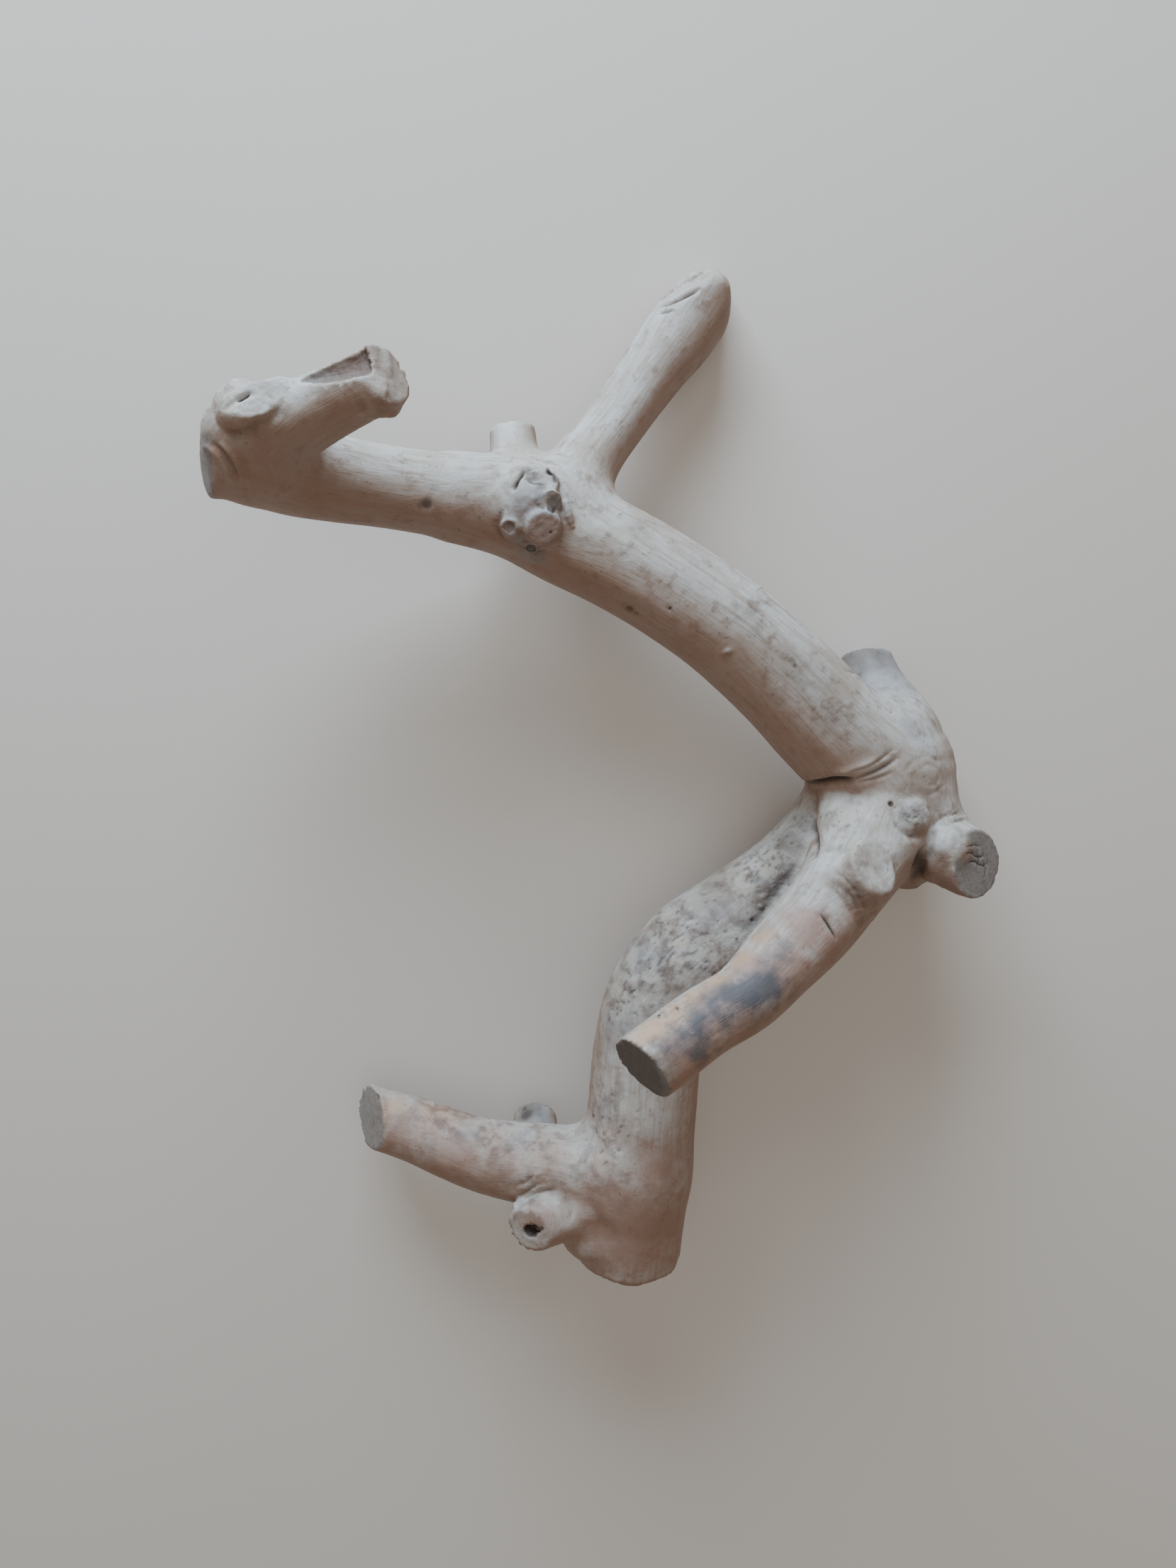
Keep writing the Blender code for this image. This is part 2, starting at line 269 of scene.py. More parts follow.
# Rotted hollows: stations, planes that end them, how soft the rim is and how dark they are
HOLLOWS = {
    "stub_hollow": {
        "stations": [(-16.5, 22.5, 137, 1.3), (-13, 24, 132, 2.0), (-9, 26.5, 134, 1.3)],
        "saws": [], "rim": 0.8, "dark": 1.0,
    },
    "hook_hollow": {
        "stations": [
            (-87, 317, 121.5, 1.0), (-79.4, 321.2, 125.7, 5.2), (-71.6, 325.3, 128.9, 7.3),
            (-63.6, 329.8, 131.9, 7.8),
        ],
        "saws": [((-67.5, 322, 124), (0.82, 0.5, 0.1), 0)], "rim": 1.0, "dark": 0.6,
    },
}

# %% [markdown]
# ## A field of wood
#
# Joining tubes with Boolean unions leaves hard seams, and a branch has none. So each point in
# space gets a signed distance to the wood: the distance to a limb's centre line less its radius.
# Distances of neighbouring limbs are joined with a smooth minimum, which grows a fillet at the
# fork, and a saw cut is a smooth maximum with a plane. Where the field is zero is the surface.

# %% Centre lines
LINE_STEP = 2.5
# A direction that no limb starts along
START_ACROSS = (0.3, 0.2, 0.93)


def centre_line(stations):
    """Sample a smooth line through the stations: points, radii, tangents, frames and lengths."""
    knots = np.array(stations, float)
    rows = []
    for i in range(len(knots) - 1):
        before = knots[max(i - 1, 0)]
        start = knots[i]
        end = knots[i + 1]
        after = knots[min(i + 2, len(knots) - 1)]
        steps = max(2, round(np.linalg.norm(end[:3] - start[:3]) / LINE_STEP))
        for t in np.arange(steps) / steps:
            rows.append(0.5 * (2 * start + (end - before) * t
                               + (2 * before - 5 * start + 4 * end - after) * t ** 2
                               + (3 * start - before - 3 * end + after) * t ** 3))
    rows.append(knots[-1])
    rows = np.array(rows)
    point = rows[:, :3]
    tangent = np.gradient(point, axis=0)
    tangent /= np.linalg.norm(tangent, axis=1, keepdims=True)
    side = np.zeros_like(point)
    carried = np.cross(tangent[0], START_ACROSS)
    for i, direction in enumerate(tangent):
        carried = carried - direction * carried.dot(direction)
        carried /= np.linalg.norm(carried)
        side[i] = carried
    run = np.concatenate([[0.0], np.cumsum(np.linalg.norm(np.diff(point, axis=0), axis=1))])
    return {
        "point": point,
        "radius": rows[:, 3],
        "tangent": tangent,
        "side": side,
        "other_side": np.cross(tangent, side),
        "run": run,
    }


def nearest_place(line_points, points):
    """For each point, the nearest segment of a line of points and the fraction along it."""
    start = line_points[:-1]
    span = np.diff(line_points, axis=0)
    offset = points[:, None, :] - start[None]
    fraction = (offset * span).sum(2) / (span ** 2).sum(1)
    fraction = np.clip(fraction, 0, 1)
    gap = ((offset - fraction[..., None] * span) ** 2).sum(2)
    segment = gap.argmin(1)
    rows = np.arange(len(points))
    return segment, fraction[rows, segment], np.sqrt(gap[rows, segment])


def between(values, segment, fraction):
    """Read a value at a fraction along a segment."""
    if values.ndim == 2:
        fraction = fraction[:, None]
    return values[segment] * (1 - fraction) + values[segment + 1] * fraction


for limb in LIMBS.values():
    limb["line"] = centre_line(limb["stations"])
for hollow in HOLLOWS.values():
    hollow["line"] = centre_line(hollow["stations"])
KNOTS = {}
print("centre line points:", sum(len(limb["line"]["point"]) for limb in LIMBS.values()))

# %% Smooth joining and cutting
FAR = 1000.0
REACH = 45.0
KNOT_REACH = 20.0
TINY = 0.001


def smooth_union(distance, slope, other, other_slope, blend):
    """Join two distances and their slopes, with a fillet of the given size."""
    share = np.clip(0.5 + 0.5 * (other - distance) / blend, 0, 1)
    joined = other * (1 - share) + distance * share - blend * share * (1 - share)
    tilt = other_slope * (1 - share)[:, None] + slope * share[:, None]
    return joined, tilt


def smooth_cut(distance, slope, plane, plane_slope, blend):
    """Keep only what lies inside both, with a rounded edge."""
    joined, tilt = smooth_union(-distance, -slope, -plane, -plane_slope, blend)
    return -joined, -tilt


def limb_distance(line, points):
    """Signed distance to a tapered limb and its slope."""
    segment, fraction, gap = nearest_place(line["point"], points)
    axis = between(line["point"], segment, fraction)
    slope = (points - axis) / np.maximum(gap, TINY)[:, None]
    return gap - between(line["radius"], segment, fraction), slope


def lump_distance(centre, half_sizes, points):
    """Signed distance to an egg-shaped lump and its slope."""
    local = (points - np.array(centre)) / np.array(half_sizes)
    size = np.maximum(np.linalg.norm(local, axis=1), TINY)
    slope = local / np.array(half_sizes)
    steep = np.maximum(np.linalg.norm(slope, axis=1), TINY)
    return size * (size - 1) / steep, slope / steep[:, None]


def nearby(line_points, points, reach):
    """Which points lie within reach of a line's box."""
    low = line_points.min(axis=0) - reach
    high = line_points.max(axis=0) + reach
    return np.flatnonzero(((points > low) & (points < high)).all(axis=1))


# %% The whole field
SAW_ROUNDING = 0.8


def sawn_limb(limb, points):
    """Distance to a limb with its ends sawn off."""
    distance, slope = limb_distance(limb["line"], points)
    for place, outward, _ in limb["saws"]:
        normal = np.array(outward) / np.linalg.norm(outward)
        plane = (points - np.array(place)) @ normal
        plane_slope = np.broadcast_to(normal, points.shape)
        rounding = limb.get("rounding", SAW_ROUNDING)
        distance, slope = smooth_cut(distance, slope, plane, plane_slope, rounding)
    return distance, slope


# The skin lies this far inside the radii above
WORN_AWAY = 0.3
SMALLEST_BLEND = 0.5
CREASE_MIDDLE = (90, 178, 84)
CREASE_REACH = 20.0
CREASE_SHARPNESS = 0.85


def crease_share(points):
    """How far the fork's fillet gives way to a sharp crease of trapped bark, 0 to 1."""
    gap = np.linalg.norm(points - np.array(CREASE_MIDDLE), axis=1)
    return np.exp(-(gap / CREASE_REACH) ** 2)


def wood_field(points):
    """Distance to the whole branch and its slope."""
    distance = np.full(len(points), FAR)
    slope = np.zeros_like(points)

    def grow(near, other, other_slope, blend):
        distance[near], slope[near] = smooth_union(
            distance[near], slope[near], other, other_slope, blend)

    for name, limb in LIMBS.items():
        near = nearby(limb["line"]["point"], points, REACH)
        blend = np.full(len(near), max(limb["blend"], SMALLEST_BLEND))
        if name == "upper_limb":
            blend = blend * (1 - CREASE_SHARPNESS * crease_share(points[near]))
        grow(near, *sawn_limb(limb, points[near]), blend)
    for centre, half_sizes, blend in LUMPS.values():
        near = nearby(np.array([centre, centre], float), points, REACH)
        grow(near, *lump_distance(centre, half_sizes, points[near]), blend)
    for knot in KNOTS.values():
        near = nearby(knot["line"]["point"], points, KNOT_REACH)
        grow(near, *sawn_limb(knot, points[near]), knot["blend"])
    for hollow in HOLLOWS.values():
        near = nearby(hollow["line"]["point"], points, KNOT_REACH)
        gap, gap_slope = sawn_limb(hollow, points[near])
        distance[near], slope[near] = smooth_cut(
            distance[near], slope[near], -gap, -gap_slope, hollow["rim"])
    return distance + WORN_AWAY, slope


print("limbs, lumps and hollows in the field:", len(LIMBS), len(LUMPS), len(HOLLOWS))

# %% [markdown]
# ## Growing the skin
#
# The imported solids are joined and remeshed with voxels, so they close over the thin gaps between
# them into one skin of even faces. Each point of that skin then slides down the slope of the
# field until it lies on the surface. A few steps are enough, because it starts within a
# millimetre or two.

# %% Remeshing and sliding
SKIN_VOXEL = 1.7
LONGEST_SLIDE = 2
LEAST_STEEP = 0.25
SLIDES = 4


def remeshed(shape):
    """Remesh a shape with voxels into one closed mesh."""
    mesh = bpy.data.meshes.new("solids")
    shape.to_mesh(mesh)
    shape.free()
    obj = bpy.data.objects.new("solids", mesh)
    bpy.context.scene.collection.objects.link(obj)
    remesh = obj.modifiers.new("one_skin", "REMESH")
    remesh.mode = "VOXEL"
    remesh.voxel_size = SKIN_VOXEL
    depsgraph = bpy.context.evaluated_depsgraph_get()
    skin = bpy.data.meshes.new_from_object(obj.evaluated_get(depsgraph))
    bpy.data.objects.remove(obj, do_unlink=True)
    return skin


def mesh_points(mesh):
    """The mesh's points as an array."""
    flat = np.empty(len(mesh.vertices) * 3)
    mesh.vertices.foreach_get("co", flat)
    return flat.reshape(-1, 3)


def set_points(mesh, points):
    """Write the array back to the mesh's points."""
    mesh.vertices.foreach_set("co", points.ravel())
    mesh.update()


def mesh_normals(mesh):
    """The mesh's point normals as an array."""
    flat = np.empty(len(mesh.vertices) * 3)
    mesh.vertex_normals.foreach_get("vector", flat)
    return flat.reshape(-1, 3)


def settled(points, rounds):
    """Slide points onto the surface of the field."""
    for _ in range(rounds):
        distance, slope = wood_field(points)
        steep = np.maximum((slope ** 2).sum(axis=1), LEAST_STEEP)
        slide = np.clip(distance, -LONGEST_SLIDE, LONGEST_SLIDE) / steep
        points = points - slide[:, None] * slope
    return points


# %% Grow the first skin
solids = bmesh.new()
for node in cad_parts.values():
    solids.from_mesh(node.data)
bmesh.ops.transform(solids, matrix=stand_up, verts=solids.verts)
skin = remeshed(solids)
set_points(skin, settled(mesh_points(skin), SLIDES))
print("skin:", len(skin.vertices), "points", len(skin.polygons), "faces")

# %% [markdown]
# ## Finding places on the wood
#
# Knots, cracks and stains are easiest to point at in the picture, in its own columns and rows.
# A sight line through that point meets the skin at a place on the wood, and from then on the
# mark belongs to that place, seen from any side.

# %% Places on the wood
def face_tree(mesh):
    """A search tree of the mesh's faces."""
    corners = [tuple(face.vertices) for face in mesh.polygons]
    return BVHTree.FromPolygons([Vector(point) for point in mesh_points(mesh)], corners)


skin_tree = face_tree(skin)
# How far from the eye a sight line that misses looks for wood
SIGHT_STEPS = range(300, 560, 4)


def on_wood(column, row, lift=0):
    """The place where the sight line through a point of the picture meets the wood.

    A sight line that just misses takes the nearest wood. A lift moves the place towards the eye.
    """
    line = Vector(sight_line(column, row))
    hit = skin_tree.ray_cast(Vector(EYE), line)[0]
    if hit is None:
        tries = [skin_tree.find_nearest(Vector(EYE) + line * far) for far in SIGHT_STEPS]
        hit = min(tries, key=lambda found: found[3])[0]
    return np.array(hit - line * lift)


# %% [markdown]
# ## Knots
#
# A side twig that died leaves a short stub, which the branch slowly swallows: new wood swells
# round it as a collar, and a saw or rot leaves a flat or hollow top. Each knot is a short limb of
# its own. Its stations are (column, row, lift, radius), with the lift measured out from the wood,
# and a saw is (column, row, lift), the way it faces and how grey it is. A hollow is a second row
# of stations that is taken out again, and dark is the dirt and painted shade inside it.

# %% Sketches of the knots
PICTURE_KNOTS = {
    "cluster_swell": {
        "stations": [(746, 690, -5.5, 8), (750, 712, -5, 9), (732, 736, -4, 7)],
        "saws": [], "blend": 2.5,
    },
    "oval_stub": {
        "stations": [(757, 696, -5, 7), (763, 668, 5, 7)],
        "saws": [((763, 671, 1.8), (0.05, 0.7, 0.7), 0.1)], "rounding": 1.6, "blend": 1.2,
    },
    "hole_stub": {
        "stations": [(768, 714, -4, 4.4), (784, 704, 6, 4)],
        "saws": [((782, 708, 2.2), (0.3, -0.1, 0.95), 0.6)], "blend": 1.2,
        "hollow": [(783, 711, 4.8, 2.6), (785, 708, 4.6, 2.4)], "dark": 0.35,
    },
    "round_stub": {
        "stations": [(762, 738, -4, 7.5), (768, 748, 6, 6.2), (770, 751, 9, 6.0)],
        "saws": [((768, 749, 4.6), (0.22, -0.1, 0.97), 0.1)], "rounding": 1.6, "blend": 1.6,
        "hollow": [(765, 747, 10, 4.4), (763, 745, 9, 4)], "dark": 0.12,
    },
    "ring_stub": {
        "stations": [(724, 740, -4, 4.2), (716, 748, 6, 3.4)],
        "saws": [((717, 747, 3.4), (-0.25, -0.2, 0.95), 0.4)], "blend": 1.0,
        "hollow": [(717, 745, 6, 1.7), (719, 744, 2.4, 1.5)], "dark": 0.4,
    },
    "notch_stub": {
        "stations": [(752, 766, -3, 3.4), (748, 776, 3, 2.8)],
        "saws": [((748, 776, 1.6), (-0.1, -0.6, 0.8), 0.8)], "blend": 0.8,
        "hollow": [(748, 778, 4, 1.6), (750, 773, 0, 1.3)], "dark": 0.6,
    },
    "cluster_fold": {
        "stations": [(796, 712, -0.8, 1.5), (802, 728, 0.2, 1.6), (807, 742, 0, 1.0)],
        "saws": [], "blend": 1.0,
    },
    "lens_stub": {
        "stations": [(1204, 1262, -9, 10.5), (1218, 1242, -2, 10.3), (1242, 1214, 7, 10)],
        "saws": [((1240, 1217, 3.0), (0.46, 0.76, 0.46), 0.25)], "rounding": 1.8, "blend": 2.6,
    },
    "callus": {
        "stations": [(1284, 1146, -4.6, 6.2), (1288, 1156, -4.2, 6.4)],
        "saws": [], "blend": 1.4,
    },
    "stub_swelling": {
        "stations": [(1320, 1206, -6, 8.5), (1336, 1196, -4.5, 8.5)],
        "saws": [], "blend": 2.5,
    },
    "bulge_left": {
        "stations": [(1188, 1130, -8, 9), (1187, 1168, -7, 8.8), (1183, 1200, -6, 7)],
        "saws": [], "blend": 3.0,
    },
    "big_oval": {
        "stations": [(334, 584, -3.5, 6.2), (368, 569, -2.5, 6.4), (398, 556, -3.5, 5.2)],
        "saws": [((368, 570, 1.5), (-0.05, 0.5, 0.86), 0.1)], "blend": 1.0,
    },
    "top_lip": {
        "stations": [(318, 566, -4, 3.6), (336, 556, -4, 3.9), (358, 556, -4.5, 3.4)],
        "saws": [], "blend": 2.0,
    },
    "lip_bump_a": {
        "stations": [(398, 541, -2, 1.8), (402, 540, -2, 1.8)],
        "saws": [], "blend": 1.0,
    },
    "lip_bump_b": {
        "stations": [(416, 540, -2, 1.8), (419, 540, -2, 1.8)],
        "saws": [], "blend": 1.0,
    },
    "hook_corner": {
        "stations": [(528, 560, -6, 5.5), (551, 575, -4.5, 3.0)],
        "saws": [], "blend": 3.0,
    },
    "splinter": {
        "stations": [(921, 425, 0.9, 0.5), (946, 410, 0.5, 1.8), (984, 392, -0.9, 2.8)],
        "saws": [], "blend": 0.8,
    },
    "small_splinter": {
        "stations": [(926, 437, 0.2, 0.25), (938, 434, 0.2, 0.5), (951, 432, -0.6, 0.5)],
        "saws": [], "blend": 0.3,
    },
    "twig_scar": {
        "stations": [(732, 1704, -2.5, 3), (722, 1710, 0, 1.5)],
        "saws": [], "blend": 1.5,
    },
    "nub": {
        "stations": [(1025, 920, -1, 1.6), (1027, 919, -0.4, 1.4)],
        "saws": [], "blend": 1.0,
    },
    "edge_twig": {
        "stations": [(1066, 832, -1, 1.0), (1075, 826, 0.4, 0.6)],
        "saws": [], "blend": 0.8,
    },
}
print("knots sketched:", len(PICTURE_KNOTS))

# %% Lay the knots on the wood
KNOT_RIM = 0.5
for name, sketch in PICTURE_KNOTS.items():
    stations = [(*on_wood(*spot), radius) for *spot, radius in sketch["stations"]]
    saws = [(on_wood(*spot), outward, grey) for spot, outward, grey in sketch["saws"]]
    KNOTS[name] = {**sketch, "line": centre_line(stations), "saws": saws}
    if "hollow" in sketch:
        stations = [(*on_wood(*spot), radius) for *spot, radius in sketch["hollow"]]
        HOLLOWS[name] = {
            "line": centre_line(stations), "saws": [], "rim": KNOT_RIM, "dark": sketch["dark"],
        }
print("hollows, with those in knots:", len(HOLLOWS))


# %% Grow the knots
def ball(shape, centre, radius):
    """Add a ball to a shape."""
    bmesh.ops.create_icosphere(
        shape, subdivisions=2, radius=radius, matrix=Matrix.Translation(Vector(centre)))


knotted = bmesh.new()
knotted.from_mesh(skin)
for knot in KNOTS.values():
    for centre, radius in zip(knot["line"]["point"], knot["line"]["radius"]):
        ball(knotted, centre, radius)
for _ in range(2):
    skin = remeshed(knotted)
    set_points(skin, settled(mesh_points(skin), SLIDES))
    knotted = bmesh.new()
    knotted.from_mesh(skin)
knotted.free()
skin_tree = face_tree(skin)
print("skin with knots:", len(skin.polygons), "faces")

# %% [markdown]
# ## Folds, cracks and ridges
#
# Where two limbs press together their wood folds, a knot leaves a ring where it was grown over,
# and dry wood cracks. Each such line is a path in the picture, with its half width and depth in
# millimetres, and how dark it is drawn: dirt, and painted shade in the folds, cracks and gaps. A
# negative depth is a ridge.

# %% Lines in the wood
LINES = {
    # Where the thick upper limb presses on the bulge below it
    "fork_fold": ([(1134, 1106), (1158, 1105), (1185, 1102), (1208, 1099)], 1.5, 2.6, 1.0),
    "fork_fold_end": ([(1200, 1100), (1225, 1093), (1248, 1082), (1268, 1068)], 0.9, 1.3, 0.5),
    "fork_fold_lower": ([(1208, 1104), (1235, 1099), (1264, 1088)], 0.8, 0.7, 0.3),
    "fork_fold_upper": ([(1196, 1088), (1222, 1082), (1244, 1070), (1262, 1056)], 0.6, 0.7, 0.3),
    "fork_lip": ([(1172, 1091), (1198, 1087), (1226, 1078), (1244, 1066)], 1.5, -0.9, 0),
    # The bulge, the healed knot beside it and the stub at the right
    "callus_ring": (
        [(1258, 1136), (1262, 1154), (1270, 1170), (1284, 1180), (1300, 1178), (1310, 1164)],
        1.2, 0.9, 0.35),
    "callus_grain": ([(1276, 1148), (1288, 1156), (1300, 1150)], 0.6, 0.4, 0.4),
    "stub_collar": ([(1308, 1185), (1318, 1163), (1338, 1150), (1366, 1149)], 0.9, 0.6, 0.25),
    "stub_collar_outer": ([(1330, 1172), (1344, 1160), (1364, 1158)], 0.7, 0.4, 0.2),
    "stub_valley": ([(1284, 1252), (1294, 1232), (1299, 1212), (1302, 1190)], 2.6, 2.4, 0.7),
    "stub_under": ([(1296, 1262), (1318, 1256), (1340, 1256)], 3.0, 0.8, 0.35),
    "bulge_edge": ([(1150, 1152), (1149, 1172), (1150, 1192), (1147, 1214)], 2.0, 2.4, 0.9),
    "bulge_side": ([(1152, 1118), (1149, 1136), (1149, 1156)], 2.6, 1.2, 0.3),
    "bulge_lower": ([(1158, 1206), (1176, 1200), (1196, 1202)], 1.2, 0.4, 0.05),
    "face_crack_a": ([(1360, 1208), (1370, 1202), (1380, 1210), (1391, 1205)], 0.4, 0.6, 0.9),
    "face_crack_b": ([(1364, 1220), (1374, 1214), (1386, 1222), (1396, 1216)], 0.4, 0.6, 0.8),
    "face_crack_c": ([(1378, 1198), (1381, 1214), (1378, 1230)], 0.35, 0.5, 0.8),
    "face_crack_d": ([(1362, 1196), (1374, 1192), (1388, 1196)], 0.35, 0.4, 0.7),
    "face_crack_e": ([(1386, 1212), (1391, 1226), (1388, 1242)], 0.35, 0.4, 0.7),
    "face_arc": ([(1358, 1240), (1366, 1256), (1380, 1264)], 0.5, 0.15, 0.25),
    "leader_seam": ([(1190, 946), (1206, 950), (1222, 960), (1234, 972)], 0.8, 0.5, 0.3),
    "eye_inner": (
        [(1297, 1088), (1308, 1079), (1322, 1085), (1325, 1098), (1314, 1108), (1300, 1105)],
        0.9, 0.25, 0.1),
    "eye_outer": ([(1276, 1094), (1288, 1074), (1312, 1068), (1334, 1080)], 1.1, 0.25, 0.08),
    "eye_brow": ([(1306, 1122), (1322, 1116), (1336, 1104)], 1.0, 0.4, 0.12),
    # The limb that comes forward
    "crack": ([(1156, 1288), (1166, 1300), (1175, 1315), (1181, 1329)], 0.5, 1.0, 1.0),
    "wrinkle_a": ([(1164, 1246), (1180, 1260), (1194, 1280), (1204, 1302)], 0.9, 0.5, 0.15),
    "wrinkle_b": ([(1178, 1230), (1196, 1246), (1212, 1268), (1222, 1290)], 0.9, 0.5, 0.15),
    "wrinkle_c": ([(1194, 1256), (1206, 1276), (1214, 1300)], 0.7, 0.4, 0.15),
    # A dark band of painted shade on the trunk where it passes behind the forward limb
    "trunk_hollow": (
        [(1136, 1204), (1112, 1232), (1094, 1256), (1078, 1280), (1062, 1304), (1042, 1330)],
        3.0, 1.4, 0.65),
    "scar_edge": ([(914, 1440), (922, 1434), (934, 1429), (950, 1425)], 0.7, 0.6, 0.5),
    "knee_edge": ([(876, 1350), (886, 1334), (902, 1318), (916, 1310)], 1.2, 0.8, 0.5),
    # The knots in the middle
    "oval_crack": ([(722, 694), (727, 682), (733, 672), (740, 662)], 0.9, 1.6, 1.0),
    "oval_rim": ([(740, 667), (744, 675), (753, 680), (767, 682), (779, 681)], 1.0, 0.4, 0.7),
    "oval_top": ([(742, 665), (754, 660), (766, 661)], 0.8, 0.4, 0.5),
    "oval_hole": ([(771, 661), (779, 665), (784, 673), (784, 683)], 1.2, 0.9, 0.95),
    "hole_lip": ([(758, 712), (766, 717), (776, 719)], 0.8, 0.5, 0.45),
    "hole_crescent": ([(773, 715), (780, 720), (789, 717)], 0.9, 1.0, 1.0),
    "hole_left": ([(760, 704), (756, 710), (762, 716)], 0.9, 0.5, 0.4),
    "round_ring": (
        [(752, 732), (747, 748), (754, 762), (768, 768), (782, 762), (788, 748), (782, 734)],
        0.6, 0.2, 0.1),
    "round_ring_inner": ([(764, 736), (759, 746), (762, 756), (772, 758)], 0.7, 0.15, 0.1),
    "cluster_left": ([(716, 712), (708, 724), (701, 740), (706, 758), (720, 768)], 1.2, 0.9, 0.3),
    "cluster_foot": ([(732, 770), (742, 776), (758, 780), (776, 774)], 1.0, 0.8, 0.5),
    # The lumpy end
    "lip_slit": ([(332, 565), (339, 562), (346, 558), (354, 552)], 0.5, 1.2, 0.9),
    "lip_valley": ([(316, 582), (326, 570), (342, 561), (360, 553)], 1.0, 0.7, 0.2),
    "oval_under": (
        [(308, 602), (322, 612), (342, 612), (364, 602), (384, 590), (400, 574)], 1.4, 0.9, 0.25),
    "left_rim_a": ([(284, 630), (298, 632), (312, 646), (322, 664), (330, 684)], 1.1, -1.4, 0),
    "left_rim_groove": ([(300, 624), (316, 640), (328, 660), (338, 684)], 0.9, 0.9, 0.3),
    "left_rim_b": ([(310, 622), (326, 640), (338, 660), (348, 682)], 0.9, -0.9, 0),
    "hook_ridge": ([(541, 484), (546, 502), (549, 522), (552, 538)], 1.3, -0.7, 0),
    "hook_split": ([(533, 492), (537, 508), (541, 524)], 0.8, 0.3, 0.12),
    # The forked tip
    # The dark lines under the splinters are shallow grooves with painted shadow
    "splinter_gap": ([(928, 434), (948, 426), (968, 416), (992, 405)], 0.9, 2.0, 0.8),
    "small_splinter_gap": ([(928, 443), (940, 440), (954, 437)], 0.7, 0.9, 0.5),
    # The foot and the low limb
    "hollow_wrinkle_a": ([(722, 1692), (738, 1685), (752, 1676), (764, 1666)], 1.0, 1.1, 0.45),
    "hollow_wrinkle_b": ([(736, 1694), (754, 1685), (776, 1680), (792, 1682)], 0.9, 0.9, 0.4),
    "hollow_wrinkle_d": ([(724, 1676), (742, 1668), (756, 1656)], 0.8, 0.5, 0.25),
    "hollow_wrinkle_c": ([(794, 1690), (806, 1706), (806, 1728)], 1.0, 0.6, 0.25),
    "foot_collar": ([(846, 1596), (862, 1612), (874, 1636), (884, 1668)], 2.4, -0.7, 0),
    "low_rim": ([(530, 1536), (540, 1552), (543, 1580), (534, 1606)], 0.8, -0.5, 0),
}

# %% Round marks
# Round marks: column, row, radius in millimetres, depth and darkness
MARKS = {
    "round_pith": (777, 751, 0.6, 0.4, 0.7),
    "oval_dish_a": (750, 673, 3.0, 0.8, 0.3),
    "oval_dish_b": (768, 674, 3.0, 0.7, 0.2),
    "oval_pit": (776, 664, 1.3, 0.7, 1.0),
    "knot_eye": (888, 860, 1.6, 0.35, 0.6),
    "knot_eye_tail": (897, 866, 1.2, 0.2, 0.4),
    "dot_a": (945, 858, 0.6, 0.3, 0.9),
    "dot_b": (880, 785, 1.6, 0.2, 0.3),
    "dot_c": (602, 711, 2.1, 0.35, 0.6),
    "dot_c_tail": (594, 713, 1.5, 0.2, 0.4),
    "dot_d": (575, 735, 1.6, 0.1, 0.25),
    "dot_e": (614, 690, 1.4, 0.1, 0.25),
    "bruise_a": (1038, 858, 2.2, 0.1, 0.3),
    "bruise_b": (1060, 862, 2.4, 0.1, 0.35),
    "bruise_c": (840, 812, 1.5, 0.1, 0.3),
    "callus_pit_a": (1257, 1134, 1.1, 1.0, 1.0),
    "callus_pit_b": (1262, 1139, 0.7, 0.5, 0.5),
    "upper_dot": (1122, 940, 0.8, 0.3, 0.5),
    "upper_dot_b": (1258, 1005, 0.7, 0.3, 0.5),
    "foot_dot": (1062, 1298, 0.9, 0.5, 0.8),
    "bead_a": (1075, 1279, 1.0, -0.9, 0),
    "bead_b": (1036, 1238, 0.9, -0.8, 0),
    "low_patch": (716, 1620, 2.6, 0.3, 0.45),
    "low_patch_b": (700, 1606, 2.0, 0.2, 0.3),
    "low_bump_a": (694, 1582, 1.6, -0.6, 0),
    "low_bump_b": (712, 1590, 1.4, -0.6, 0),
    "low_bump_c": (610, 1556, 1.5, -0.4, 0),
    "low_notch": (533, 1547, 1.4, 0.7, 0.5),
    "back_dark": (742, 1572, 3.2, 0.3, 0.55),
    "back_notch": (738, 1563, 1.2, 0.8, 0.6),
}
print("lines and marks:", len(LINES), len(MARKS))

# %% [markdown]
# ## Finer faces where they are needed
#
# Most of the wood is smooth, so faces of under two millimetres are enough. Faces near a fold, a
# crack, a knot or the rim of a saw cut are split in four, and those right at a fold, a crack, a
# mark or a small knot are split once more, so that those shapes come from real geometry.

# %% Lay the lines and marks on the wood
PATH_STEP = 3


def smooth_path(spots):
    """Round a path through a few points of the picture, and lay it on the wood."""
    rounded = centre_line([(column, row, 0, 1) for column, row in spots])["point"]
    return np.array([on_wood(column, row) for column, row, _ in rounded[::PATH_STEP]])


line_paths = {name: smooth_path(path) for name, (path, *_) in LINES.items()}
mark_places = {name: on_wood(column, row) for name, (column, row, *_) in MARKS.items()}
print("points on the lines:", sum(len(path) for path in line_paths.values()))

# %% Split the faces near details
# How close the points must be, and how thick a knot or limb may be to need finer faces
SPLITS = ((2.4, 30.0), (0.45, 8.0))
RIM_WIDTH = 1.5
# A rim lies between these shares of the sawn limb's end radius, as a slanting cut is an oval
RIM_FROM = 0.7
RIM_TO = 1.8


def near_rims(points, limb):
    """Which points lie close to the rim of a limb's sawn face."""
    close = np.zeros(len(points), bool)
    radius = limb["line"]["radius"][-1]
    for place, outward, _ in limb["saws"]:
        normal = np.array(outward) / np.linalg.norm(outward)
        offset = points - np.array(place)
        above = offset @ normal
        across = np.linalg.norm(offset - above[:, None] * normal, axis=1)
        on_rim = (across > RIM_FROM * radius) & (across < RIM_TO * radius)
        close |= (np.abs(above) < RIM_WIDTH) & on_rim
    return close


